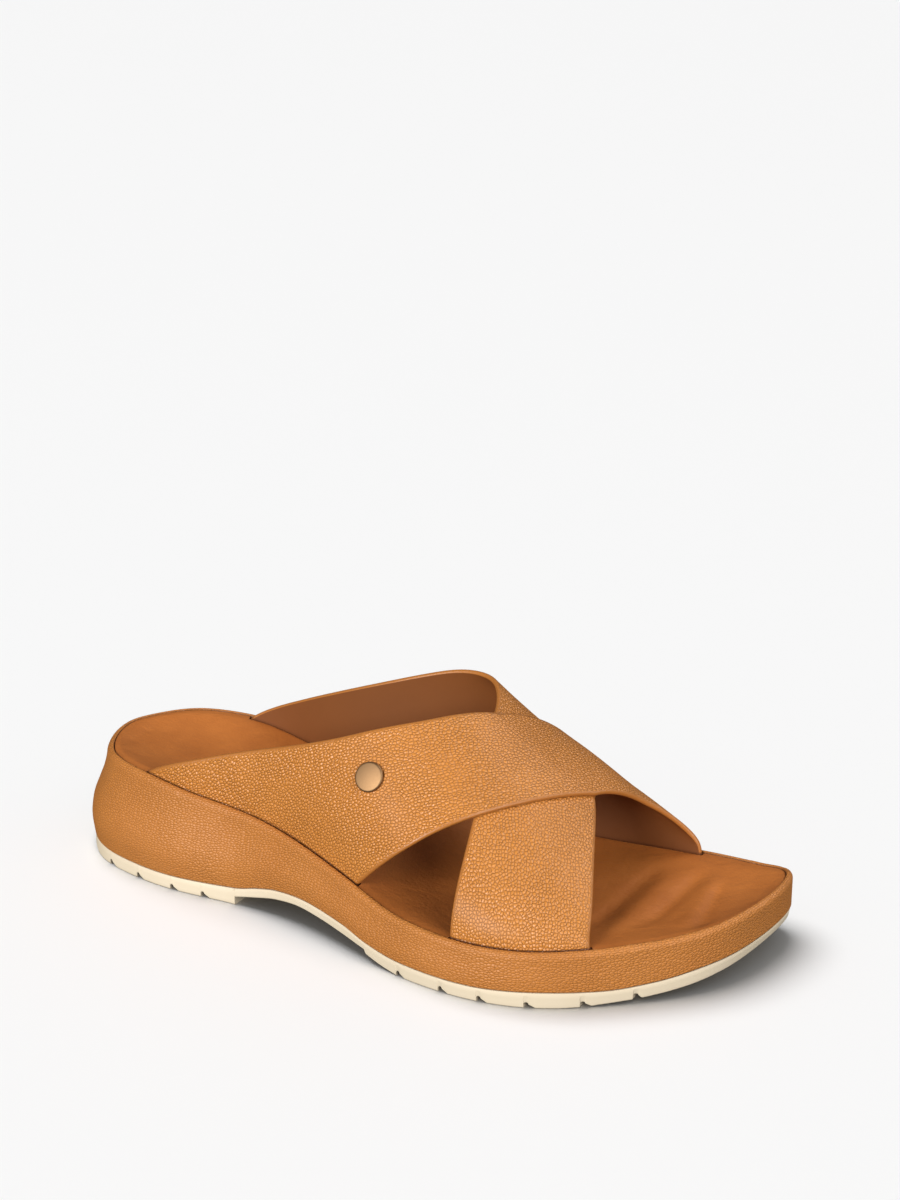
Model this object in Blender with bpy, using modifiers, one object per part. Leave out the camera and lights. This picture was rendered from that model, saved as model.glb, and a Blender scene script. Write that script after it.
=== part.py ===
# Cross strap slide sandal for the right foot, about EU 38 to 39.
#
# Sizes are millimetres. A station is the distance from the back of the rim towards the toe.
# The lateral (little toe) side lies towards -Y, the medial (big toe) side towards +Y, the floor at Z = 0.
# The model's origin is the middle of the sandal's box, on the floor.

import math

import bmesh
import bpy
import numpy as np
from mathutils import Matrix, Vector

MM = 0.001

# Driving sizes
FOOTBED_LENGTH = 250.0
ORIGIN_STATION = 121.5
ORIGIN_SIDE = -3.7
GAP = 0.3

# Rim, footbed and strap seats
RIM_RISE = 0.6
RIM_CREST_INSET = 0.8
GROOVE_INSET = 2.0
RECESS_INSET = 2.3
GROOVE_DEPTH = 0.6
FOOTBED_DROP = 0.4
FOOTBED_THICKNESS = 4.0
CUP_POWER = 2.4
CUP_SOFTNESS = 1.3
CUP_FULL_HALF = 15.0
SEAT_CLEARANCE = 0.4

# Straps
STRAP_THICKNESS = 2.6
STRAP_LIFT = 2.3
STRAP_EDGE_ROUND = 0.7
STRAP_FOOT_DROP = 0.3
STRAP_SLOPE_OUT = 14.0
STRAP_ROWS = 38
STRAP_COLUMNS = 9
SEAT_ROOM = 0.6
SEAT_STEP = 0.003

# Rivet cap on the over strap
BADGE_ACROSS_RUN = 0.181
BADGE_ACROSS_STRAP = 0.455
BADGE_RADIUS = 4.7
BADGE_RIM_HEIGHT = 0.9
BADGE_DOME = 0.9
SHANK_RADIUS = 1.3
SHANK_LENGTH = 1.9
SHANK_HOLE_RADIUS = 1.6

# Outsole
SOLE_EDGE_ROUND = 0.5
SOLE_SETBACK = 0.3
HEEL_BREAST = 75.0
NOTCH_WIDTH = 2.6
NOTCH_HEIGHT = 1.9
NOTCH_STATIONS = (19.5, 34.0, 49.5, 62.0, 149.3, 166.0, 179.6, 194.4, 209.7, 222.8)
CUTTER_HALF_WIDTH = 70.0

# Mesh fineness
STATIONS_A_SIDE = 38
CELLS_ACROSS = 8


def table(names, *rows):
    """Columns of numbers, each under its name."""
    return dict(zip(names.split(), np.array(rows, float).T))


OUTLINE = table(
    "station lateral medial",
    (0, 3.0, 3.0),
    (4, -11.4, 13.9),
    (14, -24.5, 24.7),
    (30, -31.1, 31.4),
    (50, -33.8, 33.4),
    (75, -33.1, 30.2),
    (100, -37.1, 30.1),
    (125, -44.4, 34.8),
    (150, -51.1, 40.0),
    (175, -53.1, 43.3),
    (200, -46.3, 45.8),
    (220, -31.8, 46.1),
    (235, -17.1, 44.3),
    (245, -0.5, 41.8),
    (250, 26.8, 26.8),
)

# Height of the rim, and how far the footbed's middle sinks below its edge
RIM = table(
    "station height dip",
    (0, 37.7, 0.0),
    (15, 38.3, 2.5),
    (35, 37.6, 4.4),
    (60, 34.5, 4.0),
    (90, 30.7, 2.5),
    (120, 25.5, 2.0),
    (150, 19.6, 2.2),
    (180, 18.5, 2.6),
    (210, 19.3, 2.4),
    (235, 21.1, 1.6),
    (250, 23.4, 0.4),
)

# How far the wedge's wall swells outside the rim, and where the tread's lower edge lies
WALL = table(
    "station flare tread",
    (0, 7.1, 6.4),
    (20, 6.4, 5.6),
    (60, 5.2, 4.6),
    (120, 2.3, 1.6),
    (170, 1.2, 0.2),
    (250, 0.0, -0.7),
)

# Share of the flare at each share of the wall's height
WALL_PROFILE = table(
    "height flare",
    (0.0, 0.88),
    (0.10, 0.95),
    (0.22, 1.0),
    (0.36, 0.92),
    (0.52, 0.65),
    (0.72, 0.29),
    (0.89, 0.08),
    (1.0, 0.0),
)

# Line where the wrapped wedge meets the outsole
SEAM = table(
    "station height",
    (0, 8.0),
    (6, 5.9),
    (14, 5.1),
    (41, 4.9),
    (60, 5.2),
    (75, 6.1),
    (85, 8.6),
    (94, 10.5),
    (105, 11.3),
    (124, 9.6),
    (136, 6.8),
    (150, 5.3),
    (175, 5.1),
    (200, 5.8),
    (216, 5.5),
    (228, 6.8),
    (239, 9.2),
    (245, 10.5),
    (250, 11.9),
)

# Underside of the tread before the arch is cut: flat under the heel and under the ball
TREAD = table(
    "station height",
    (0, 3.0),
    (4, 1.4),
    (12, 0.0),
    (205, 0.0),
    (215, 0.6),
    (225, 1.6),
    (235, 3.4),
    (243, 6.0),
    (250, 9.6),
)

# Underside of the arch plate, from the heel breast to the start of the forefoot tread
ARCH = table(
    "station height",
    (75.0, 2.9),
    (83.5, 4.9),
    (93.4, 7.2),
    (103.6, 8.2),
    (113.0, 7.5),
    (122.7, 6.2),
    (134.4, 4.1),
)

# Forefoot tread where it climbs into the arch
BALL_RAMP = table(
    "station height",
    (134.4, 2.9),
    (141.0, 1.3),
    (149.0, 0.0),
)

# Outer face of the straps as a last: height over the rim, lean to the medial side, and roundness
LAST = table(
    "station height lean lateral medial",
    (20, 63.2, 0.18, 2.36, 2.32),
    (60, 68.0, 0.24, 2.21, 2.43),
    (95, 70.0, 0.29, 2.01, 2.46),
    (130, 65.9, 0.33, 1.90, 2.43),
    (160, 46.5, 0.29, 1.89, 2.47),
    (190, 28.6, 0.29, 1.94, 2.46),
    (220, 4.5, 0.28, 2.08, 2.39),
)

# Stations of the straps' edges, from the lateral seat (run 0) over the foot to the medial seat (run 1)
STRAPS = table(
    "run over_rear over_front under_rear under_front",
    (0.0, 33.6, 128.1, 167.9, 210.8),
    (0.2, 112.3, 155.8, 165.9, 206.7),
    (0.4, 144.8, 179.8, 157.8, 195.5),
    (0.6, 159.5, 195.7, 144.5, 179.3),
    (0.8, 166.9, 209.2, 115.1, 152.2),
    (1.0, 162.0, 213.2, 37.2, 126.0),
)

# Leather and rubber colours in linear light, with roughness and metallic value
FINISHES = {
    "outsole": ((0.80, 0.66, 0.45), 0.62, 0.0),
    "midsole": ((0.42, 0.19, 0.055), 0.55, 0.0),
    "insole": ((0.27, 0.115, 0.035), 0.62, 0.0),
    "upper": ((0.45, 0.205, 0.058), 0.48, 0.0),
    "badge": ((0.40, 0.22, 0.10), 0.36, 0.9),
}


def natural_spline(xs, ys):
    """Smooth cubic through the points, free at both ends."""
    step = np.diff(xs)
    slope = np.diff(ys) / step
    matrix = np.eye(len(xs))
    right = np.zeros(len(xs))
    for i in range(1, len(xs) - 1):
        matrix[i, i - 1:i + 2] = step[i - 1], 2.0 * (step[i - 1] + step[i]), step[i]
        right[i] = 6.0 * (slope[i] - slope[i - 1])
    bend = np.linalg.solve(matrix, right)

    def value(x):
        k = np.clip(np.searchsorted(xs, x) - 1, 0, len(step) - 1)
        past = x - xs[k]
        left = xs[k + 1] - x
        cubic = (bend[k] * left ** 3 + bend[k + 1] * past ** 3) / (6.0 * step[k])
        low = (ys[k] / step[k] - bend[k] * step[k] / 6.0) * left
        high = (ys[k + 1] / step[k] - bend[k + 1] * step[k] / 6.0) * past
        return cubic + low + high

    return value


def level_spline(xs, ys):
    """Cubic through the points that never overshoots them, so a level run stays level."""
    step = np.diff(xs)
    slope = np.diff(ys) / step
    lean = np.zeros(len(xs))
    lean[0] = slope[0]
    lean[-1] = slope[-1]
    for i in range(1, len(xs) - 1):
        if slope[i - 1] * slope[i] > 0.0:
            before = 2.0 * step[i] + step[i - 1]
            after = step[i] + 2.0 * step[i - 1]
            lean[i] = (before + after) / (before / slope[i - 1] + after / slope[i])

    def value(x):
        k = np.clip(np.searchsorted(xs, x) - 1, 0, len(step) - 1)
        t = np.clip((x - xs[k]) / step[k], 0.0, 1.0)
        ends = ys[k] + (ys[k + 1] - ys[k]) * t * t * (3.0 - 2.0 * t)
        leans = lean[k] * t * (1.0 - t) ** 2 - lean[k + 1] * t * t * (1.0 - t)
        return ends + step[k] * leans

    return value


def angle_of(station):
    """Angle round the outline, 0 at the heel and pi at the toe, of a station on the lateral side."""
    return np.arccos(np.clip(1.0 - 2.0 * np.asarray(station, float) / FOOTBED_LENGTH, -1.0, 1.0))


def closed_outline():
    """Side distance of the rim as a smooth function of the angle round it."""
    lateral = angle_of(OUTLINE["station"])
    medial = 2.0 * np.pi - lateral[::-1][1:-1]
    angles = np.concatenate([lateral, medial])
    sides = np.concatenate([OUTLINE["lateral"], OUTLINE["medial"][::-1][1:-1]])
    turns = np.concatenate([angles - 2.0 * np.pi, angles, angles + 2.0 * np.pi])
    return natural_spline(turns, np.tile(sides, 3))


rim_side = closed_outline()
rim_height = level_spline(RIM["station"], RIM["height"])
cup_depth = level_spline(RIM["station"], RIM["dip"])
wall_flare = level_spline(WALL["station"], WALL["flare"])
tread_offset = level_spline(WALL["station"], WALL["tread"])
seam_height = level_spline(SEAM["station"], SEAM["height"])
tread_height = level_spline(TREAD["station"], TREAD["height"])
arch_height = level_spline(ARCH["station"], ARCH["height"])
last_height = natural_spline(LAST["station"], LAST["height"])
last_lean = natural_spline(LAST["station"], LAST["lean"])
last_lateral = natural_spline(LAST["station"], LAST["lateral"])
last_medial = natural_spline(LAST["station"], LAST["medial"])
over_rear = natural_spline(STRAPS["run"], STRAPS["over_rear"])
over_front = natural_spline(STRAPS["run"], STRAPS["over_front"])
under_rear = natural_spline(STRAPS["run"], STRAPS["under_rear"])
under_front = natural_spline(STRAPS["run"], STRAPS["under_front"])


def plan(angles, outward):
    """Station and side of points on the rim's outline, moved outward square to it."""
    small = 1e-4
    station = 0.5 * FOOTBED_LENGTH * (1.0 - np.cos(angles))
    along_x = 0.5 * FOOTBED_LENGTH * np.sin(angles)
    along_y = (rim_side(angles + small) - rim_side(angles - small)) / (2.0 * small)
    length = np.hypot(along_x, along_y)
    x = station + outward * along_y / length
    y = rim_side(angles) - outward * along_x / length
    return x, y


def ring(angles, outward, height):
    """Closed ring round the sandal; outward and height may vary with the station."""
    station = 0.5 * FOOTBED_LENGTH * (1.0 - np.cos(angles))
    x, y = plan(angles, outward(station) if callable(outward) else outward)
    return np.column_stack([x, y, height(station)])


def seat_line(turn):
    """Angle, station and side of the strap seats' outer line on one side, in station order."""
    half = np.linspace(0.0, np.pi, 200)
    x, y = plan(half if turn > 0 else 2.0 * np.pi - half, -(RECESS_INSET + GAP))
    order = x.argsort()
    return half[order], x[order], y[order]


SEAT_LINES = {"lateral": seat_line(1), "medial": seat_line(-1)}


def lateral_edge(station):
    return np.interp(station, *SEAT_LINES["lateral"][1:])


def medial_edge(station):
    return np.interp(station, *SEAT_LINES["medial"][1:])


def footbed_height(x, y):
    """Top of the contoured footbed: level with the rim past the straps, cupped in the middle."""
    half = 0.5 * (medial_edge(x) - lateral_edge(x)) - STRAP_THICKNESS
    middle = 0.5 * (medial_edge(x) + lateral_edge(x))
    across = np.clip(np.abs(y - middle) / np.maximum(half, 1.0), 0.0, 1.0)
    depth = cup_depth(x) * np.clip(half / CUP_FULL_HALF, 0.0, 1.0)
    return rim_height(x) - FOOTBED_DROP - depth * (1.0 - across ** CUP_POWER) ** CUP_SOFTNESS


def strap_seats():
    """Spans of the angle round the rim that a strap takes up on each side, with clearance."""
    spans = {}
    for side, run in (("lateral", 0.0), ("medial", 1.0)):
        angles, stations, _ = SEAT_LINES[side]
        spans[side] = [
            tuple(np.interp((rear(run) - SEAT_ROOM, front(run) + SEAT_ROOM), stations, angles))
            for rear, front in ((over_rear, over_front), (under_rear, under_front))
        ]
    return spans


def ring_angles():
    """Angles round the rim, in lateral and medial pairs, with a close pair at each end of a seat."""
    even = np.linspace(0.0, np.pi, STATIONS_A_SIDE + 1)
    seats = strap_seats()
    ends = np.array(seats["lateral"] + seats["medial"]).ravel()
    marks = np.concatenate([ends - SEAT_STEP, ends + SEAT_STEP])
    spread = even[[np.abs(marks - angle).min() > 4.0 * SEAT_STEP for angle in even]]
    half = np.sort(np.concatenate([spread, marks]))
    return np.concatenate([half, 2.0 * np.pi - half[-2:0:-1]])


def insole_inset(angles):
    """Inset of the footbed's edge: behind the straps at their seats, near the rim elsewhere."""
    seats = strap_seats()
    inset = np.full(len(angles), RECESS_INSET + GAP)
    for index, angle in enumerate(angles):
        side = "lateral" if angle <= np.pi else "medial"
        turn = min(angle, 2.0 * np.pi - angle)
        if any(low < turn < high for low, high in seats[side]):
            inset[index] = RECESS_INSET + STRAP_THICKNESS + 2.0 * GAP
    return inset


def cap_points(edge, height):
    """Rows of inner points between the lateral and medial halves of a ring."""
    count = len(edge)
    shares = np.linspace(0.0, 1.0, CELLS_ACROSS + 1)[1:-1, None]
    rows = []
    for i in range(1, count // 2):
        row = edge[i] * (1.0 - shares) + edge[count - i] * shares
        if height is not None:
            row[:, 2] = height(row[:, 0], row[:, 1])
        rows.append(row)
    return rows


def add_cap(mesh, loop, rows, upward):
    """Close a ring of vertices with a grid, fanned at the heel and the toe."""
    count = len(loop)
    lines = []
    for i in range(1, count // 2):
        inner = [mesh.verts.new(point) for point in rows[i - 1]]
        lines.append([loop[i]] + inner + [loop[count - i]])
    faces = []
    for line, following in zip(lines, lines[1:]):
        for j in range(CELLS_ACROSS):
            faces.append((line[j], following[j], following[j + 1], line[j + 1]))
    for j in range(CELLS_ACROSS):
        faces.append((loop[0], lines[0][j], lines[0][j + 1]))
        faces.append((loop[count // 2], lines[-1][j + 1], lines[-1][j]))
    for face in faces:
        mesh.faces.new(face if upward else face[::-1])


def to_origin(points):
    """Points in metres from the model's origin."""
    return (np.asarray(points, float) - (ORIGIN_STATION, ORIGIN_SIDE, 0.0)) * MM


def layered_body(rings, low_height=None, high_height=None):
    """Closed body through a stack of rings, from its lower cap to its upper cap."""
    mesh = bmesh.new()
    stack = [[mesh.verts.new(point) for point in to_origin(edge)] for edge in rings]
    for lower, upper in zip(stack, stack[1:]):
        for i in range(len(lower)):
            k = (i + 1) % len(lower)
            mesh.faces.new((lower[i], lower[k], upper[k], upper[i]))
    low_rows = [to_origin(row) for row in cap_points(rings[0], low_height)]
    high_rows = [to_origin(row) for row in cap_points(rings[-1], high_height)]
    add_cap(mesh, stack[0], low_rows, upward=False)
    add_cap(mesh, stack[-1], high_rows, upward=True)
    return mesh


def midsole_mesh(angles):
    """Wedge with a swelling wall, a rolled rim and a recess for the footbed and strap ends."""
    rings = []
    for share, part in zip(WALL_PROFILE["height"], WALL_PROFILE["flare"]):
        def outward(station, part=part):
            return wall_flare(station) * part

        def height(station, share=share):
            seam = seam_height(station) + 0.5 * GAP
            return seam + share * (rim_height(station) - seam)

        rings.append(ring(angles, outward, height))
    rings.append(ring(angles, -RIM_CREST_INSET, lambda s: rim_height(s) + RIM_RISE))
    rings.append(ring(angles, -GROOVE_INSET, lambda s: rim_height(s) - 0.5 * GROOVE_DEPTH))
    rings.append(ring(angles, -RECESS_INSET, lambda s: rim_height(s) - GROOVE_DEPTH))
    floor_drop = FOOTBED_THICKNESS + SEAT_CLEARANCE
    floor = ring(angles, -RECESS_INSET, rim_height)
    floor[:, 2] = footbed_height(floor[:, 0], floor[:, 1]) - floor_drop
    rings.append(floor)
    return layered_body(rings, high_height=lambda x, y: footbed_height(x, y) - floor_drop)


def insole_mesh(angles):
    """Contoured footbed of even thickness, cut back where the straps go down."""
    edge = -insole_inset(angles)
    top = ring(angles, edge, rim_height)
    top[:, 2] = footbed_height(top[:, 0], top[:, 1])
    bottom = top - (0.0, 0.0, FOOTBED_THICKNESS)
    return layered_body(
        [bottom, top],
        low_height=lambda x, y: footbed_height(x, y) - FOOTBED_THICKNESS,
        high_height=footbed_height,
    )


def outsole_mesh(angles):
    """Full-depth tread before the arch and the notches are cut."""
    rings = [
        ring(angles, lambda s: tread_offset(s) - SOLE_EDGE_ROUND, tread_height),
        ring(angles, tread_offset, lambda s: tread_height(s) + SOLE_EDGE_ROUND),
        ring(
            angles,
            lambda s: WALL_PROFILE["flare"][0] * wall_flare(s) - SOLE_SETBACK,
            lambda s: seam_height(s) - 0.5 * GAP,
        ),
    ]
    return layered_body(rings)


def prism_mesh(profile):
    """Block with a profile in X and Z, wider than the sandal."""
    mesh = bmesh.new()
    corners = np.column_stack([profile[:, 0], np.full(len(profile), -CUTTER_HALF_WIDTH), profile[:, 1]])
    face = mesh.faces.new([mesh.verts.new(point) for point in to_origin(corners)])
    grown = bmesh.ops.extrude_face_region(mesh, geom=[face])
    moved = [item for item in grown["geom"] if isinstance(item, bmesh.types.BMVert)]
    bmesh.ops.translate(mesh, verts=moved, vec=(0.0, 2.0 * CUTTER_HALF_WIDTH * MM, 0.0))
    bmesh.ops.recalc_face_normals(mesh, faces=mesh.faces)
    return mesh


def arch_profile():
    """Hollow between the heel breast and the rise of the forefoot tread."""
    below = -5.0
    roof = np.column_stack([
        np.linspace(ARCH["station"][0], ARCH["station"][-1], 13),
        arch_height(np.linspace(ARCH["station"][0], ARCH["station"][-1], 13)),
    ])
    ramp = np.column_stack([BALL_RAMP["station"], BALL_RAMP["height"]])
    run_out = [(BALL_RAMP["station"][-1] + 6.0, below)]
    return np.vstack([[(HEEL_BREAST, below)], roof, ramp, run_out])


def notch_profile(station):
    """Upright notch with a round top and one leaning side."""
    floor = float(tread_height(station))
    radius = 0.4 * NOTCH_WIDTH
    arc = np.linspace(np.pi, 0.0, 5)
    top = np.column_stack([
        station + radius * np.cos(arc),
        floor + NOTCH_HEIGHT - radius + radius * np.sin(arc),
    ])
    left = (station - 0.5 * NOTCH_WIDTH, floor - 2.0)
    right = (station + 0.9 * NOTCH_WIDTH, floor - 2.0)
    return np.vstack([[left], top, [right]])


def last_point(x, run):
    """Point on the straps' outer face, before the over strap climbs onto the under strap."""
    half = 0.5 * (medial_edge(x) - lateral_edge(x))
    middle = 0.5 * (medial_edge(x) + lateral_edge(x))
    turn = np.pi * np.clip(run, 1e-4, 1.0 - 1e-4)
    power = 2.0 / np.where(np.cos(turn) > 0.0, last_lateral(x), last_medial(x))
    across = -np.sign(np.cos(turn)) * np.abs(np.cos(turn)) ** power
    up = np.sin(turn) ** power
    y = middle + half * (across + last_lean(x) * up ** 2)
    z = rim_height(x) - STRAP_FOOT_DROP + last_height(x) * up
    return np.stack([x, y, z], axis=-1)


def face_normal(surface, x, run):
    """Upward normal of a strap face from small steps along and across it."""
    small = 1e-3
    along = surface(x + 0.5, run) - surface(x - 0.5, run)
    over = surface(x, np.clip(run + small, 0.0, 1.0)) - surface(x, np.clip(run - small, 0.0, 1.0))
    normal = np.cross(along, over)
    normal /= np.linalg.norm(normal, axis=-1, keepdims=True)
    return normal


def over_point(x, run):
    """Outer face of the over strap: it climbs onto the under strap and comes down past it."""
    outside = np.maximum(under_rear(run) - x, x - under_front(run))
    share = np.clip(1.0 - outside / STRAP_SLOPE_OUT, 0.0, 1.0)
    rise = STRAP_LIFT * share * share * (3.0 - 2.0 * share)
    return last_point(x, run) + face_normal(last_point, x, run) * rise[..., None]


def strap_mesh(surface, rear, front):
    """Strap of even thickness with rounded edges, whose ends run down into the recess."""
    runs = np.linspace(0.0, 1.0, STRAP_ROWS)
    run_grid = np.repeat(runs[:, None], STRAP_COLUMNS, axis=1)
    width = front(runs) - rear(runs)
    trim = STRAP_EDGE_ROUND / width
    shares = trim[:, None] + (1.0 - 2.0 * trim)[:, None] * np.linspace(0.0, 1.0, STRAP_COLUMNS)
    x_grid = rear(runs)[:, None] + width[:, None] * shares
    outer = surface(x_grid, run_grid)
    inner = outer - STRAP_THICKNESS * face_normal(surface, x_grid, run_grid)
    rear_edge = surface(rear(runs), runs) - 0.5 * STRAP_THICKNESS * face_normal(surface, rear(runs), runs)
    front_edge = surface(front(runs), runs) - 0.5 * STRAP_THICKNESS * face_normal(surface, front(runs), runs)
    sections = np.concatenate([outer, front_edge[:, None], inner[:, ::-1], rear_edge[:, None]], axis=1)
    sections = np.concatenate([foot_section(sections[0]), sections, foot_section(sections[-1])])
    return swept_body(sections)


def foot_section(section):
    """The strap's lowest section, straight below its seat line."""
    foot = section.copy()
    drop = FOOTBED_DROP + FOOTBED_THICKNESS
    foot[:, 2] = rim_height(foot[:, 0]) - drop
    return foot[None]


def swept_body(sections):
    """Closed body through a row of sections; each is two facing rows and two edge points."""
    mesh = bmesh.new()
    count = sections.shape[1]
    lines = [[mesh.verts.new(point) for point in to_origin(section)] for section in sections]
    for line, following in zip(lines, lines[1:]):
        for j in range(count):
            k = (j + 1) % count
            mesh.faces.new((line[j], line[k], following[k], following[j]))
    for line, flip in ((lines[0], True), (lines[-1], False)):
        outer = line[:STRAP_COLUMNS]
        inner = line[count - 2:STRAP_COLUMNS:-1]
        faces = [(outer[j], outer[j + 1], inner[j + 1], inner[j]) for j in range(STRAP_COLUMNS - 1)]
        faces.append((outer[-1], line[STRAP_COLUMNS], inner[-1]))
        faces.append((outer[0], inner[0], line[-1]))
        for face in faces:
            mesh.faces.new(face[::-1] if flip else face)
    bmesh.ops.recalc_face_normals(mesh, faces=mesh.faces)
    return mesh


def badge_frame():
    """Place and outward direction of the rivet on the over strap."""
    run = np.array([BADGE_ACROSS_RUN])
    x = over_rear(run) * (1.0 - BADGE_ACROSS_STRAP) + over_front(run) * BADGE_ACROSS_STRAP
    point = Vector(to_origin(over_point(x, run))[0])
    normal = Vector(face_normal(over_point, x, run)[0])
    return Matrix.Translation(point) @ normal.to_track_quat("Z", "Y").to_matrix().to_4x4()


def collection(name):
    group = bpy.data.collections.new(name)
    bpy.context.scene.collection.children.link(group)
    return group


def finish(name):
    """Material of a sub-part."""
    colour, roughness, metallic = FINISHES[name]
    material = bpy.data.materials.new(name)
    material.use_nodes = True
    shader = material.node_tree.nodes["Principled BSDF"]
    shader.inputs["Base Color"].default_value = (*colour, 1.0)
    shader.inputs["Roughness"].default_value = roughness
    shader.inputs["Metallic"].default_value = metallic
    return material


def add_object(name, mesh, group):
    """Object with a smooth-shaded mesh."""
    data = bpy.data.meshes.new(name)
    mesh.to_mesh(data)
    mesh.free()
    data.shade_smooth()
    data.set_sharp_from_angle(angle=math.radians(40.0))
    item = bpy.data.objects.new(name, data)
    group.objects.link(item)
    return item


def add_cutter(name, mesh, group):
    item = add_object(name, mesh, group)
    item.display_type = "WIRE"
    item.hide_render = True
    return item


def add_boolean(item, other, operation):
    modifier = item.modifiers.new(other.name, "BOOLEAN")
    modifier.operation = operation
    modifier.solver = "EXACT"
    modifier.object = other


def badge_object(group):
    """Domed cap with a short shank, turned round its own axis."""
    dome_steps = 5
    radius = (BADGE_RADIUS ** 2 + BADGE_DOME ** 2) / (2.0 * BADGE_DOME)
    reach = math.asin(BADGE_RADIUS / radius)
    base = GAP + BADGE_RIM_HEIGHT
    profile = []
    for i in range(dome_steps + 1):
        turn = reach * i / dome_steps
        profile.append((radius * math.sin(turn), base + BADGE_DOME - radius * (1.0 - math.cos(turn))))
    bevel = 0.25
    profile.append((BADGE_RADIUS, GAP + bevel))
    profile.append((BADGE_RADIUS - bevel, GAP))
    profile.append((SHANK_RADIUS, GAP))
    profile.append((SHANK_RADIUS, -SHANK_LENGTH))
    profile.append((0.0, -SHANK_LENGTH))
    mesh = bmesh.new()
    verts = [mesh.verts.new((x * MM, 0.0, z * MM)) for x, z in profile]
    for start, end in zip(verts, verts[1:]):
        mesh.edges.new((start, end))
    badge = add_object("badge", mesh, group)
    screw = badge.modifiers.new("turn", "SCREW")
    screw.steps = 28
    screw.render_steps = 28
    screw.use_merge_vertices = True
    screw.merge_threshold = 0.00001
    badge.matrix_world = badge_frame()
    return badge


def rivet_hole(group):
    """Cylinder that drills the over strap for the rivet's shank."""
    mesh = bmesh.new()
    bmesh.ops.create_cone(
        mesh,
        cap_ends=True,
        segments=24,
        radius1=SHANK_HOLE_RADIUS * MM,
        radius2=SHANK_HOLE_RADIUS * MM,
        depth=4.0 * STRAP_THICKNESS * MM,
    )
    cutter = add_cutter("rivet_hole", mesh, group)
    cutter.matrix_world = badge_frame()
    return cutter


def clear_scene():
    for item in list(bpy.data.objects):
        bpy.data.objects.remove(item)


def main():
    clear_scene()
    parts = collection("cross_strap_sandal")
    cutters = collection("cutters")
    angles = ring_angles()

    outsole = add_object("outsole", outsole_mesh(angles), parts)
    add_boolean(outsole, add_cutter("arch", prism_mesh(arch_profile()), cutters), "DIFFERENCE")
    for number, station in enumerate(NOTCH_STATIONS, 1):
        notch = add_cutter(f"notch_{number}", prism_mesh(notch_profile(station)), cutters)
        add_boolean(outsole, notch, "DIFFERENCE")

    add_object("midsole", midsole_mesh(angles), parts)
    add_object("insole", insole_mesh(angles), parts)

    upper = add_object("upper", strap_mesh(last_point, under_rear, under_front), parts)
    over = add_cutter("over_strap", strap_mesh(over_point, over_rear, over_front), cutters)
    add_boolean(upper, over, "UNION")
    add_boolean(upper, rivet_hole(cutters), "DIFFERENCE")

    badge_object(parts)
    for item in parts.objects:
        item.data.materials.append(finish(item.name))


main()
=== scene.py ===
# Cross strap slide sandal for the right foot: tread, leather-covered wedge, footbed, straps, rivet cap.
#
# Sizes in the tables are millimetres. A station is the distance from the back of the rim, measured
# towards the toe. The lateral (little toe) side lies towards -Y, the medial (big toe) side towards +Y,
# and the floor at Z = 0.

import math
from functools import partial

import bpy
import numpy as np
from bpy.props import FloatProperty, FloatVectorProperty, PointerProperty
from mathutils import Matrix, Vector


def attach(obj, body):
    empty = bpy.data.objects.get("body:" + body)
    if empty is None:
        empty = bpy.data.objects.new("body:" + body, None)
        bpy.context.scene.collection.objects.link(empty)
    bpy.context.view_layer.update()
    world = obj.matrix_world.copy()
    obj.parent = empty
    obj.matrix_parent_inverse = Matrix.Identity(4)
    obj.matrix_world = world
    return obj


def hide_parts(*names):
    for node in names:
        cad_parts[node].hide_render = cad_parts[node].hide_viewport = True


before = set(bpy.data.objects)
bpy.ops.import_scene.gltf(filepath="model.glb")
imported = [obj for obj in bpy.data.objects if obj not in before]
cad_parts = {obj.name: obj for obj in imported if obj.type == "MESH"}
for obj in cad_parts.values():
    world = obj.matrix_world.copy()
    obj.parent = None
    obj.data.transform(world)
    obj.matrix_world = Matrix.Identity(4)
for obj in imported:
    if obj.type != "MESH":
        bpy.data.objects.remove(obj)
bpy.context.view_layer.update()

bl_info = {
    "name": "Cross Strap Sandal",
    "version": (1, 0, 0),
    "blender": (4, 5, 0),
    "location": "3D View > Sidebar > Sandal",
    "description": "Builds a leather cross strap slide piece by piece, and a plain studio round it",
    "category": "Object",
}

MM = 0.001
FOOTBED_LENGTH = 250.0
ORIGIN_STATION = 121.5
ORIGIN_SIDE = -3.7
GAP = 0.3

# Rim, footbed and strap seats
RECESS_INSET = 2.3
FOOTBED_DROP = 0.4
FOOTBED_THICKNESS = 4.0
SEAT_CLEARANCE = 0.4
CUP_POWER = 2.4
CUP_SOFTNESS = 1.3
CUP_FULL_HALF = 15.0
STRAP_THICKNESS = 2.6
STRAP_FOOT_DROP = 0.3
STRAP_SLOPE_OUT = 26.0
SEAT_ROOM = 0.6
SEAT_STEP = 0.003
SEAT_GAP = 0.15
FOOTBED_RISE = 0.1

# Rolled rim of the wedge: how far it stands over the rim, its fall into the seam, and the seam's depths
RIM_CREST = 0.28
RIM_LIP = 0.4
SEAM_LIP = 0.2
SEAM_DEPTHS = (2.0, 2.4)
# Painted seam shade, ring by ring: on the wedge's last rings from the lip into the recess, and on the
# footbed's rings from its bottom (darkest) up to its top (none)
SEAM_SHADES = (0.0, 0.1, 0.3, 0.7, 1.0, 1.0, 1.0)
FOOTBED_SHADES = (1.0, 1.0, 0.9, 0.7, 0.5, 0.3, 0.15, 0.0)

# Rivet cap on the over strap
BADGE_ACROSS_RUN = 0.181
BADGE_ACROSS_STRAP = 0.455
CAP_RIM = 0.9
CAP_BEVEL = 0.7
SHANK_RADIUS = 1.3
SHANK_DEPTH = 1.9

# Painted shade: tone of the leather inside a seam, and how it fades out over the foot of a strap
SEAM_TONE = "#683A1A"
SEAM_START = 0.25
SEAM_FADE = 0.55

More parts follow.
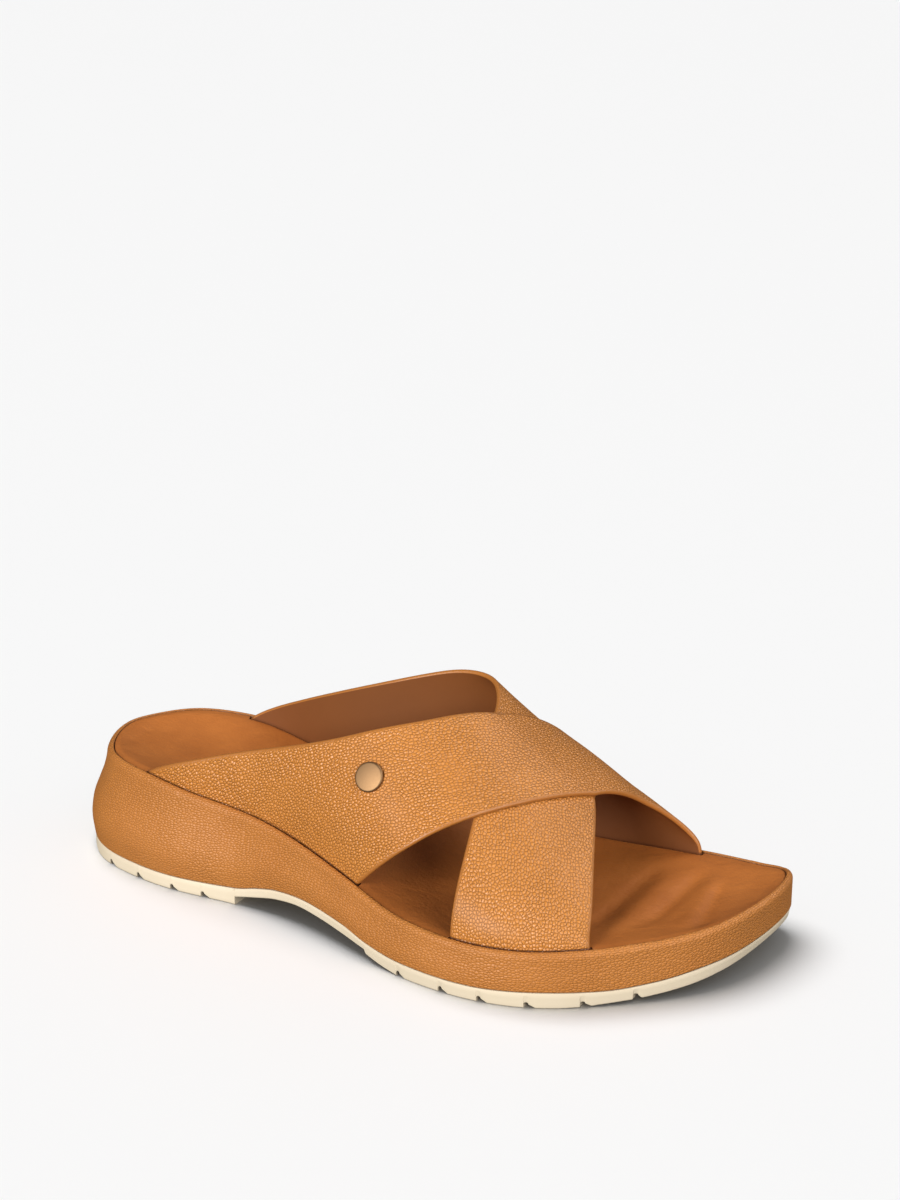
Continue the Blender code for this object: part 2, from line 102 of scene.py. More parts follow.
# Share of a strap's edge band that is bare of grain, and the share over which the grain comes in
BAND_BARE = 0.55
BAND_FADE = 0.6

# Tread
TREAD_EDGE = 0.5
TREAD_LIP = 0.25
TREAD_INSET = 0.3
HEEL_BREAST = 75.0
NOTCH_WIDTH = 2.6
NOTCH_HEIGHT = 1.9
NOTCH_APEX = 0.28
NOTCH_FOOT = 1.05
NOTCH_STATIONS = (19.5, 34.0, 49.5, 62.0, 149.3, 166.0, 179.6, 194.4, 209.7, 222.8)
NOTCH_RADIUS = NOTCH_APEX * NOTCH_WIDTH
NOTCH_REACH = NOTCH_FOOT * NOTCH_WIDTH
CLOSEST_ROWS = 0.03

# Stations between which the fine ribs run, how far they stop from the sole's edge, and the station
# past which they reach it
HEEL_RIBS = (8.0, HEEL_BREAST - 2.0)
BALL_RIBS = (150.5, 242.0)
RIB_MARGIN = 3.0
TOE_RIBS = 203.0

# Camera: focal length in millimetres, degrees round the sandal and up, and place in metres
CAMERA_LENS = 69.0
CAMERA_AZIMUTH = 30.0
CAMERA_ELEVATION = 20.0
CAMERA_PLACE = (0.3706, -0.6080, 0.3684)

# How finely the meshes are cut
RIM_POINTS = 460
WALL_RINGS = 32
STRAP_ROWS = 300
STRAP_COLUMNS = 90
STRAP_TURNS = 10
CAP_STEPS = 96


def table(names, *rows):
    """Columns of numbers, each under its name."""
    return dict(zip(names.split(), np.array(rows, float).T))


OUTLINE = table(
    "station lateral medial",
    (0, 3.0, 3.0), (4, -11.4, 13.9), (14, -24.5, 24.7), (30, -31.1, 31.4), (50, -33.8, 33.4),
    (75, -33.1, 30.2), (100, -37.1, 30.1), (125, -44.4, 34.8), (150, -51.1, 40.0), (175, -53.1, 43.3),
    (200, -46.3, 45.8), (220, -31.8, 46.1), (235, -17.1, 44.3), (245, -0.5, 41.8), (250, 26.8, 26.8),
)

# Height of the rim, and how far the footbed's middle sinks below its edge
RIM = table(
    "station height dip",
    (0, 37.7, 0.0), (15, 38.3, 2.5), (35, 37.6, 4.4), (60, 34.5, 4.0), (90, 30.7, 2.5),
    (120, 25.5, 2.0), (150, 19.6, 2.2), (180, 18.5, 2.6), (210, 19.3, 2.4), (235, 21.1, 1.6),
    (250, 23.4, 0.4),
)

# How far the wedge's wall swells outside the rim, and where the tread's lower edge lies
WALL = table(
    "station flare tread",
    (0, 7.1, 6.4), (20, 6.4, 5.6), (60, 5.2, 4.6), (120, 2.3, 1.6), (170, 1.2, 0.2), (250, 0.0, -0.7),
)

# Share of the flare at each share of the wall's height
WALL_PROFILE = table(
    "height flare",
    (0.0, 0.88), (0.10, 0.95), (0.22, 1.0), (0.36, 0.92), (0.52, 0.65), (0.72, 0.29), (0.89, 0.08),
    (1.0, 0.0),
)

# Line where the wrapped wedge meets the tread
SEAM = table(
    "station height",
    (0, 8.0), (6, 5.9), (14, 5.1), (41, 4.9), (60, 5.2), (75, 6.1), (85, 8.6), (94, 10.5), (105, 11.3),
    (124, 9.6), (136, 6.8), (150, 5.3), (175, 5.1), (200, 5.8), (216, 5.5), (228, 6.8), (239, 9.2),
    (245, 10.5), (250, 11.9),
)

# Underside of the tread before the arch is cut: flat under the heel and under the ball
TREAD = table(
    "station height",
    (0, 3.0), (4, 1.4), (12, 0.0), (205, 0.0), (215, 0.6), (225, 1.6), (235, 3.4), (243, 6.0),
    (250, 9.6),
)

# Underside of the arch plate, from the heel breast to the start of the forefoot tread
ARCH = table(
    "station height",
    (75.0, 2.9), (83.5, 4.9), (93.4, 7.2), (103.6, 8.2), (113.0, 7.5), (122.7, 6.2), (134.4, 4.1),
)

# Forefoot tread where it climbs into the arch
BALL_RAMP = table(
    "station height",
    (134.4, 2.9), (141.0, 1.3), (149.0, 0.0),
)

# Outer face of the straps as a last: height over the rim, lean to the medial side, and roundness
LAST = table(
    "station height lean lateral medial",
    (20, 63.2, 0.18, 2.36, 2.32),
    (60, 68.0, 0.24, 2.21, 2.43),
    (95, 70.0, 0.29, 2.01, 2.46),
    (130, 65.9, 0.33, 1.90, 2.43),
    (160, 46.5, 0.29, 1.89, 2.47),
    (190, 28.6, 0.29, 1.94, 2.46),
    (220, 4.5, 0.28, 2.08, 2.39),
)

# Stations of the straps' edges, from the lateral seat (run 0) over the foot to the medial seat (run 1)
STRAPS = table(
    "run over_rear over_front under_rear under_front",
    (0.0, 33.6, 128.1, 167.9, 210.8),
    (0.2, 112.3, 155.8, 165.9, 206.7),
    (0.4, 144.8, 179.8, 157.8, 195.5),
    (0.6, 159.5, 195.7, 144.5, 179.3),
    (0.8, 166.9, 209.2, 115.1, 152.2),
    (1.0, 162.0, 213.2, 37.2, 126.0),
)

# Soft folds of the footbed's cover: station at the lateral edge, station at the medial edge,
# share across where it starts, share where it ends, half width, and height (below 0 for a trough)
FOOTBED_FOLDS = (
    (236.2, 224.6, 0.02, 0.80, 2.6, -0.95),
    (231.0, 222.5, 0.10, 0.88, 3.4, 0.70),
    (217.0, 218.5, 0.22, 0.92, 3.2, -1.15),
    (210.0, 209.0, 0.10, 0.85, 3.6, 0.66),
    (201.0, 203.0, 0.20, 0.90, 3.4, -0.80),
    (186.0, 190.0, 0.10, 0.70, 5.0, -0.60),
    (139.0, 133.0, 0.15, 0.75, 5.0, -0.42),
    (56.0, 60.0, 0.15, 0.85, 5.0, -0.37),
    (35.0, 22.0, 0.10, 0.60, 4.0, 0.34),
)

# Small puckers of the wrapped leather at the rim: turn round the rim from the heel (below 0 on
# the medial side), half width along the rim, and height
RIM_PUCKERS = (
    (0.36, 1.6, 0.10), (0.45, 1.4, -0.10), (0.53, 1.8, 0.09), (2.28, 2.4, 0.10), (2.38, 1.7, -0.12),
    (2.46, 1.8, 0.11), (2.56, 1.6, -0.11), (2.66, 2.0, 0.12), (2.78, 1.5, -0.10), (2.90, 1.8, 0.10),
    (-2.95, 1.8, 0.10), (-2.82, 1.5, -0.10), (-2.60, 1.8, 0.08),
)


def natural_spline(xs, ys):
    """Smooth cubic through the points, free at both ends."""
    step = np.diff(xs)
    slope = np.diff(ys) / step
    matrix = np.eye(len(xs))
    right = np.zeros(len(xs))
    for i in range(1, len(xs) - 1):
        matrix[i, i - 1:i + 2] = step[i - 1], 2.0 * (step[i - 1] + step[i]), step[i]
        right[i] = 6.0 * (slope[i] - slope[i - 1])
    bend = np.linalg.solve(matrix, right)

    def value(x):
        k = np.clip(np.searchsorted(xs, x) - 1, 0, len(step) - 1)
        past = x - xs[k]
        left = xs[k + 1] - x
        cubic = (bend[k] * left ** 3 + bend[k + 1] * past ** 3) / (6.0 * step[k])
        low = (ys[k] / step[k] - bend[k] * step[k] / 6.0) * left
        high = (ys[k + 1] / step[k] - bend[k + 1] * step[k] / 6.0) * past
        return cubic + low + high

    return value


def level_spline(rows, column):
    """Cubic through a column of a table that never overshoots it, so a level run stays level."""
    xs = next(iter(rows.values()))
    ys = rows[column]
    step = np.diff(xs)
    slope = np.diff(ys) / step
    lean = np.zeros(len(xs))
    lean[0] = slope[0]
    lean[-1] = slope[-1]
    for i in range(1, len(xs) - 1):
        if slope[i - 1] * slope[i] > 0.0:
            before = 2.0 * step[i] + step[i - 1]
            after = step[i] + 2.0 * step[i - 1]
            lean[i] = (before + after) / (before / slope[i - 1] + after / slope[i])

    def value(x):
        k = np.clip(np.searchsorted(xs, x) - 1, 0, len(step) - 1)
        t = np.clip((x - xs[k]) / step[k], 0.0, 1.0)
        ends = ys[k] + (ys[k + 1] - ys[k]) * t * t * (3.0 - 2.0 * t)
        leans = lean[k] * t * (1.0 - t) ** 2 - lean[k + 1] * t * t * (1.0 - t)
        return ends + step[k] * leans

    return value


def angle_of(station):
    """Angle round the outline, 0 at the heel and pi at the toe, of a station on the lateral side."""
    return np.arccos(np.clip(1.0 - 2.0 * np.asarray(station, float) / FOOTBED_LENGTH, -1.0, 1.0))


def station_of(angles):
    """Station on the rim of an angle round the outline."""
    return 0.5 * FOOTBED_LENGTH * (1.0 - np.cos(angles))


def closed_outline():
    """Side distance of the rim as a smooth function of the angle round it."""
    lateral = angle_of(OUTLINE["station"])
    medial = 2.0 * np.pi - lateral[::-1][1:-1]
    angles = np.concatenate([lateral, medial])
    sides = np.concatenate([OUTLINE["lateral"], OUTLINE["medial"][::-1][1:-1]])
    turns = np.concatenate([angles - 2.0 * np.pi, angles, angles + 2.0 * np.pi])
    return natural_spline(turns, np.tile(sides, 3))


def natural_splines(rows):
    """One smooth curve for each column of a table after the first."""
    xs, *columns = rows.values()
    return [natural_spline(xs, ys) for ys in columns]


rim_side = closed_outline()
rim_height = level_spline(RIM, "height")
cup_depth = level_spline(RIM, "dip")
wall_flare = level_spline(WALL, "flare")
tread_offset = level_spline(WALL, "tread")
wall_profile = level_spline(WALL_PROFILE, "flare")
seam_height = level_spline(SEAM, "height")
tread_height = level_spline(TREAD, "height")
arch_height = level_spline(ARCH, "height")
ramp_height = level_spline(BALL_RAMP, "height")
last_height, last_lean, last_lateral, last_medial = natural_splines(LAST)
over_rear, over_front, under_rear, under_front = natural_splines(STRAPS)


def smooth(share):
    """Soft step from 0 to 1."""
    share = np.clip(share, 0.0, 1.0)
    return share * share * (3.0 - 2.0 * share)


def plan(angles, outward):
    """Station and side of points on the rim's outline, moved outward square to it."""
    small = 1e-4
    along_x = 0.5 * FOOTBED_LENGTH * np.sin(angles)
    along_y = (rim_side(angles + small) - rim_side(angles - small)) / (2.0 * small)
    length = np.hypot(along_x, along_y)
    x = station_of(angles) + outward * along_y / length
    y = rim_side(angles) - outward * along_x / length
    return x, y


def ring(angles, outward, height):
    """Closed ring of points round the sandal."""
    x, y = plan(angles, outward)
    return np.column_stack([x, y, np.broadcast_to(height, x.shape)])


def seat_line(turn):
    """Angle, station and side of the strap seats' outer line on one side, in station order."""
    half = np.linspace(0.0, np.pi, 200)
    x, y = plan(half if turn > 0 else 2.0 * np.pi - half, -(RECESS_INSET + GAP))
    order = x.argsort()
    return half[order], x[order], y[order]


SEAT_LINES = {"lateral": seat_line(1), "medial": seat_line(-1)}


def lateral_edge(station):
    return np.interp(station, *SEAT_LINES["lateral"][1:])


def medial_edge(station):
    return np.interp(station, *SEAT_LINES["medial"][1:])


def seat_span(x):
    """Half the distance between the two seat lines, and the middle between them."""
    return 0.5 * (medial_edge(x) - lateral_edge(x)), 0.5 * (medial_edge(x) + lateral_edge(x))


def footbed_height(x, y):
    """Top of the contoured footbed: level with the rim past the straps, cupped in the middle."""
    half, middle = seat_span(x)
    half = half - STRAP_THICKNESS
    across = np.clip(np.abs(y - middle) / np.maximum(half, 1.0), 0.0, 1.0)
    depth = cup_depth(x) * np.clip(half / CUP_FULL_HALF, 0.0, 1.0)
    return rim_height(x) - FOOTBED_DROP - depth * (1.0 - across ** CUP_POWER) ** CUP_SOFTNESS


def footbed_relief(x, y):
    """Height of the cover's own soft folds over the contoured footbed."""
    lateral = lateral_edge(x)
    share = np.clip((y - lateral) / np.maximum(medial_edge(x) - lateral, 1.0), 0.0, 1.0)
    relief = np.zeros_like(x)
    for from_station, to_station, start, end, half_width, height in FOOTBED_FOLDS:
        line = from_station + (to_station - from_station) * share
        along = smooth((share - start) / 0.2) * smooth((end - share) / 0.2)
        relief += height * along * np.exp(-((x - line) / half_width) ** 2)
    return relief


def rim_pucker(angles):
    """Small waves of the wrapped leather along the rim."""
    turn = np.where(angles > np.pi, angles - 2.0 * np.pi, angles)
    wave = np.zeros_like(turn)
    for place, half_width, height in RIM_PUCKERS:
        speed = np.hypot(0.5 * FOOTBED_LENGTH * math.sin(place), 30.0)
        wave += height * np.exp(-((turn - place) * speed / half_width) ** 2)
    return wave


def strap_seats():
    """Spans of the angle round the rim that a strap takes up on each side, with clearance."""
    spans = {}
    for side, run in (("lateral", 0.0), ("medial", 1.0)):
        angles, stations, _ = SEAT_LINES[side]
        spans[side] = [
            tuple(np.interp((rear(run) - SEAT_ROOM, front(run) + SEAT_ROOM), stations, angles))
            for rear, front in ((over_rear, over_front), (under_rear, under_front))
        ]
    return spans


def seat_angles(count):
    """Angles round the rim, in lateral and medial pairs, with a close pair at each end of a seat."""
    even = np.linspace(0.0, np.pi, count + 1)
    seats = strap_seats()
    ends = np.array(seats["lateral"] + seats["medial"]).ravel()
    marks = np.concatenate([ends - SEAT_STEP, ends + SEAT_STEP])
    spread = even[[np.abs(marks - angle).min() > SEAT_STEP for angle in even]]
    half = np.sort(np.concatenate([spread, marks]))
    return np.concatenate([half, 2.0 * np.pi - half[-2:0:-1]])


def footbed_inset(angles, strap_thickness):
    """Inset of the footbed's edge: behind the straps at their seats, near the rim elsewhere."""
    seats = strap_seats()
    inset = np.full(len(angles), RECESS_INSET)
    for index, angle in enumerate(angles):
        side = "lateral" if angle <= np.pi else "medial"
        turn = min(angle, 2.0 * np.pi - angle)
        if any(low < turn < high for low, high in seats[side]):
            inset[index] = RECESS_INSET + GAP + strap_thickness + SEAT_GAP
    return inset


def last_point(x, run):
    """Point on the straps' outer face, before the over strap climbs onto the under strap."""
    half, middle = seat_span(x)
    turn = np.pi * np.clip(run, 1e-4, 1.0 - 1e-4)
    power = 2.0 / np.where(np.cos(turn) > 0.0, last_lateral(x), last_medial(x))
    across = -np.sign(np.cos(turn)) * np.abs(np.cos(turn)) ** power
    up = np.sin(turn) ** power
    y = middle + half * (across + last_lean(x) * up ** 2)
    z = rim_height(x) - STRAP_FOOT_DROP + last_height(x) * up
    return np.stack([x, y, z], axis=-1)


def face_normal(surface, x, run):
    """Upward normal of a strap face from small steps along and across it."""
    small = 1e-3
    along = surface(x + 0.5, run) - surface(x - 0.5, run)
    over = surface(x, np.clip(run + small, 0.0, 1.0)) - surface(x, np.clip(run - small, 0.0, 1.0))
    normal = np.cross(along, over)
    normal /= np.linalg.norm(normal, axis=-1, keepdims=True)
    return normal


def over_surface(lift):
    """Outer face of the over strap: it climbs onto the under strap and comes down past it."""

    def point(x, run):
        outside = np.maximum(under_rear(run) - x, x - under_front(run))
        rise = lift * smooth(1.0 - outside / STRAP_SLOPE_OUT)
        return last_point(x, run) + face_normal(last_point, x, run) * rise[..., None]

    return point


# Meshes

def to_origin(points):
    """Points in metres from the model's origin."""
    return (np.asarray(points, float) - (ORIGIN_STATION, ORIGIN_SIDE, 0.0)) * MM


def grid_faces(rows, close=False):
    """Quads between neighbouring rows of vertex numbers."""
    if close:
        rows = np.column_stack([rows, rows[:, 0]])
    corners = (rows[:-1, :-1], rows[:-1, 1:], rows[1:, 1:], rows[1:, :-1])
    return np.stack([corner.ravel() for corner in corners], axis=1)


def mesh_object(name, points, faces, material, fields=None):
    """Smooth-shaded mesh object from millimetre points, groups of faces and values at the points."""
    mesh = bpy.data.meshes.new(name)
    listed = [face for group in faces for face in group.tolist()]
    mesh.from_pydata(to_origin(points).tolist(), [], listed)
    for field, values in (fields or {}).items():
        kind = "FLOAT_VECTOR" if values.ndim == 2 else "FLOAT"
        store = mesh.attributes.new(field, kind, "POINT")
        key = "vector" if values.ndim == 2 else "value"
        store.data.foreach_set(key, values.astype(np.float32).ravel())
    mesh.shade_smooth()
    mesh.materials.append(material)
    item = bpy.data.objects.new(name, mesh)
    bpy.context.scene.collection.objects.link(item)
    return item


def cap(rim, cells, height):
    """Inner points of a grid across a closed ring of points, from one side to the other."""
    half = len(rim) // 2
    shares = np.linspace(0.0, 1.0, cells + 1)[1:-1, None]
    inner = rim[1:half, None] * (1.0 - shares) + rim[:half:-1, None] * shares
    if height is not None:
        inner[..., 2] = height(inner[..., 0], inner[..., 1])
    return inner


def layered_object(name, rings, low, high, material, shades=None):
    """Closed body through a stack of rings; low and high give each cap's cells and height.

    Each cap is a grid, fanned at heel and toe. Shades say how deep each ring lies in a seam, which sets
    how much painted seam shade it takes.
    """
    count = len(rings[0])
    half = count // 2
    points = [np.concatenate(rings)]
    numbers = np.arange(len(rings) * count).reshape(len(rings), count)
    faces = [grid_faces(numbers, close=True)]
    total = numbers.size
    for edge, loop, (cells, height), upward in (
        (rings[0], numbers[0], low, False),
        (rings[-1], numbers[-1], high, True),
    ):
        inner = cap(edge, cells, height)
        points.append(inner.reshape(-1, 3))
        ids = total + np.arange(inner.shape[0] * inner.shape[1]).reshape(inner.shape[:2])
        total += ids.size
        lines = np.column_stack([loop[1:half], ids, loop[:half:-1]])
        quads = grid_faces(lines)
        heel = np.column_stack([np.full(cells, loop[0]), lines[0, :-1], lines[0, 1:]])
        toe = np.column_stack([np.full(cells, loop[half]), lines[-1, 1:], lines[-1, :-1]])
        for group in (quads, heel, toe):
            flip = group is quads
            faces.append(group if upward != flip else group[:, ::-1])
    shade = np.zeros(total)
    if shades is not None:
        shade[:len(rings) * count] = np.repeat(shades, count)
    return mesh_object(name, np.concatenate(points), faces, material, {"seam_shade": shade})


def wrap_hide(piece, rings):
    """Place on the flat hide of every corner of the wall's faces, joined in a seam at the heel."""
    layers = np.array(rings)
    count = layers.shape[1]
    middle = layers[len(layers) // 2]
    around = np.linalg.norm(np.roll(middle, -1, axis=0) - middle, axis=1)
    along = np.concatenate([[0.0], np.cumsum(around)])
    rise = np.linalg.norm(np.diff(layers, axis=0), axis=-1)
    up = np.concatenate([np.zeros((1, count)), np.cumsum(rise, axis=0)])
    mesh = piece.data
    corners = np.zeros(len(mesh.loops), np.int32)
    mesh.loops.foreach_get("vertex_index", corners)
    place = np.zeros((len(corners), 3), np.float32)
    walls = (len(layers) - 1) * count * 4
    column = corners[:walls] % count
    last = (np.arange(walls) // 4) % count == count - 1
    place[:walls, 0] = along[np.where(last & (column == 0), count, column)] * MM
    place[:walls, 1] = up[corners[:walls] // count, column] * MM
    flat = np.array([vertex.co for vertex in mesh.vertices], np.float32)
    place[walls:] = flat[corners[walls:]]
    place[walls:, 2] = 0.0
    store = mesh.attributes.new("hide_place", "FLOAT_VECTOR", "CORNER")
    store.data.foreach_set("vector", place.ravel())


def square_reach(surface, line, runs):
    """Distance square to a strap's edge that one millimetre of station covers."""
    step = 2e-3
    later = np.clip(runs + step, 0.0, 1.0)
    sooner = np.clip(runs - step, 0.0, 1.0)
    edge = surface(line(later), later) - surface(line(sooner), sooner)
    edge /= np.linalg.norm(edge, axis=1, keepdims=True)
    along = surface(line(runs) + 0.5, runs) - surface(line(runs) - 0.5, runs)
    along -= (along * edge).sum(axis=1, keepdims=True) * edge
    return np.maximum(np.linalg.norm(along, axis=1), 0.3)


def strap_shares(width, turns, arc):
    """Distances of each row's columns from the rear edge, close together at both turned edges."""
    rear, front = (turn[:, None] for turn in turns)
    flat = np.linspace(0.0, 1.0, STRAP_COLUMNS + 1)
    inside = rear + (width[:, None] - rear - front) * flat
    far = width[:, None] - front * (1.0 - np.sin(arc))
    return np.concatenate([rear * (1.0 - np.sin(arc)), inside, far[:, ::-1]], axis=1)


def turn_between(first, second, up):
    """Signed angle from one direction to the next, seen from above the face."""
    return np.arctan2((np.cross(first, second) * up).sum(axis=-1), (first * second).sum(axis=-1))


def walk(start, length, heading, axis):
    """Flat places reached by steps of a length and heading."""
    steps = np.stack([length * np.cos(heading), length * np.sin(heading)], axis=-1)
    return np.concatenate([start, start + np.cumsum(steps, axis=axis)], axis=axis)


def unrolled(face, normals, middle):
    """Place of a strap face's points on the flat hide, unrolled outward from its middle line."""
    spine = face[:, middle]
    along = np.gradient(spine, axis=0)
    bends = turn_between(along[:-1], along[1:], normals[1:, middle])
    heading = np.concatenate([[0.0], np.cumsum(bends)])
    length = np.linalg.norm(np.diff(spine, axis=0), axis=-1)
    line = walk(np.zeros((1, 2)), length, 0.5 * (heading[1:] + heading[:-1]), 0)
    halves = []
    for part in (slice(middle, None), slice(middle, None, -1)):
        step = np.diff(face[:, part], axis=1)
        first = heading + turn_between(along, step[:, 0], normals[:, middle])
        bends = turn_between(step[:, :-1], step[:, 1:], normals[:, part][:, 1:-1])
        turned = np.concatenate([np.zeros((len(face), 1)), np.cumsum(bends, axis=1)], axis=1)
        lean = first[:, None] + turned
        halves.append(walk(line[:, None], np.linalg.norm(step, axis=-1), lean, 1))
    flat = np.concatenate([halves[1][:, :0:-1], halves[0]], axis=1)
    return np.concatenate([flat, np.zeros(flat.shape[:2] + (1,))], axis=-1)


def strap_object(name, surface, rear, front, sizes, material, lining):
    """Strap with turned, rounded edges, whose ends run down into the footbed's recess."""
    runs = np.linspace(0.0, 1.0, STRAP_ROWS)
    width = front(runs) - rear(runs)
    thickness = sizes.strap_thickness / MM
    reaches = [square_reach(surface, line, runs) for line in (rear, front)]
    turns = [np.minimum(sizes.strap_turn / MM / reach, 0.2 * width) for reach in reaches]
    arc = np.linspace(0.5 * np.pi, 0.0, STRAP_TURNS + 1)[1:-1]
    shares = strap_shares(width, turns, arc)
    drop = 0.5 * thickness * (1.0 - np.cos(arc))
    depths = np.concatenate([drop, np.zeros(STRAP_COLUMNS + 1), drop[::-1]])
    x_grid = rear(runs)[:, None] + shares
    run_grid = np.repeat(runs[:, None], x_grid.shape[1], axis=1)
    normals = face_normal(surface, x_grid, run_grid)
    face = surface(x_grid, run_grid)
    outer = face - normals * depths[None, :, None]
    inner = face - normals * (thickness - depths)[None, :, None]
    rims = [
        surface(line(runs), runs) - 0.5 * thickness * face_normal(surface, line(runs), runs)
        for line in (rear, front)
    ]
    sections = np.concatenate([outer, rims[1][:, None], inner[:, ::-1], rims[0][:, None]], axis=1)
    columns = outer.shape[1]

    # Distance from the nearer turned edge, and the place on the flat hide that the grain follows
    rear_reach, front_reach = (reach[:, None] for reach in reaches)
    from_edge = np.minimum(shares * rear_reach, (width[:, None] - shares) * front_reach)
    edge = 1.0 - smooth((from_edge / (sizes.edge_band / MM) - BAND_BARE) / BAND_FADE)
    hide = unrolled(face, normals, columns // 2) * MM
    full = np.ones((STRAP_ROWS, 1))
    edge_loop = np.concatenate([edge, full, edge[:, ::-1], full], axis=1)
    hide_loop = np.concatenate([hide, hide[:, -1:], hide[:, ::-1], hide[:, :1]], axis=1)

    feet = []
    for section in (sections[0], sections[-1]):
        foot = section.copy()
        foot[:, 2] = rim_height(foot[:, 0]) - FOOTBED_DROP - FOOTBED_THICKNESS
        feet.append(foot[None])
    sections = np.concatenate([feet[0], sections, feet[1]])
    edge_loop = np.concatenate([edge_loop[:1], edge_loop, edge_loop[-1:]])
    hide_loop = np.concatenate([hide_loop[:1], hide_loop, hide_loop[-1:]])
    count = sections.shape[1]
    numbers = np.arange(sections.shape[0] * count).reshape(-1, count)
    faces = [grid_faces(numbers, close=True)]
    for line, flip in ((numbers[0], True), (numbers[-1], False)):
        pairs = np.stack([line[:columns], line[2 * columns:columns:-1]])
        tips = np.array([
            (line[columns - 1], line[columns], line[columns + 1]),
            (line[0], line[2 * columns], line[2 * columns + 1]),
        ])
        for group in (grid_faces(pairs), tips):
            faces.append(group if flip else group[:, ::-1])
    points = sections.reshape(-1, 3)
    # Painted seam shade: the strap is darkened near the rim, where it runs down into the seam's shade
    above = points[:, 2] - rim_height(points[:, 0])
    fields = {
        "turned_edge": edge_loop.ravel(),
        "hide_place": hide_loop.reshape(-1, 3),
        "seam_shade": 1.0 - smooth((above - SEAM_START) / SEAM_FADE),
    }
    strap = mesh_object(name, points, faces, material, fields)
    strap.data.materials.append(lining)
    column = np.arange(count)
    inside = (column > columns + STRAP_TURNS - 2) & (column < count - STRAP_TURNS)
    lined = np.tile(inside, sections.shape[0] - 1).astype(np.int32)
    flags = np.zeros(len(strap.data.polygons), np.int32)
    flags[:len(lined)] = lined
    strap.data.polygons.foreach_set("material_index", flags)
    return strap


# Materials

def linear(code):
    """Linear colour of an sRGB hex code."""
    values = [int(code[i:i + 2], 16) / 255.0 for i in (1, 3, 5)]
    return (*[v / 12.92 if v <= 0.04045 else ((v + 0.055) / 1.055) ** 2.4 for v in values], 1.0)


def grain(size):
    """Scale of a pattern whose grain is so many millimetres across."""
    return 1.0 / (size * MM)


def add_node(tree, kind, inputs=None, out=0, **settings):
    """One output of a new node; an input is linked when it is a socket and set otherwise."""
    item = tree.nodes.new("ShaderNode" + kind)
    for name, value in settings.items():
        setattr(item, name, value)
    for name, value in (inputs or {}).items():
        if isinstance(value, bpy.types.NodeSocket):
            tree.links.new(value, item.inputs[name])
        else:
            item.inputs[name].default_value = value
    return item.outputs[out] if item.outputs else None


def new_material(name):
    """Empty material, and the call that adds a node to it."""
    material = bpy.data.materials.new(name)
    material.use_nodes = True
    material.node_tree.nodes.clear()
    return material, partial(add_node, material.node_tree)


def finish(node, inputs):
    """Shader of a material; its even values are set on the shader's own sockets."""
    node("OutputMaterial", {"Surface": node("BsdfPrincipled", inputs)})


def clouded(node, place, size, light, deep, dimensions="3D", **texture):
    """Colour that drifts between two tones over patches of a size in millimetres."""
    patches = {"Vector": place, "Scale": grain(size), **texture}
    mottle = node("TexNoise", patches, noise_dimensions=dimensions)
    return node("Mix", {0: mottle, 6: linear(light), 7: linear(deep)}, out=2, data_type="RGBA")


def seam_tone(node, colour):
    """Painted shade: darker tone where leather dives into a seam, from the values at its points."""
    shade = node("Attribute", out="Fac", attribute_name="seam_shade")
    return node("Mix", {0: shade, 6: colour, 7: linear(SEAM_TONE)}, out=2, data_type="RGBA")


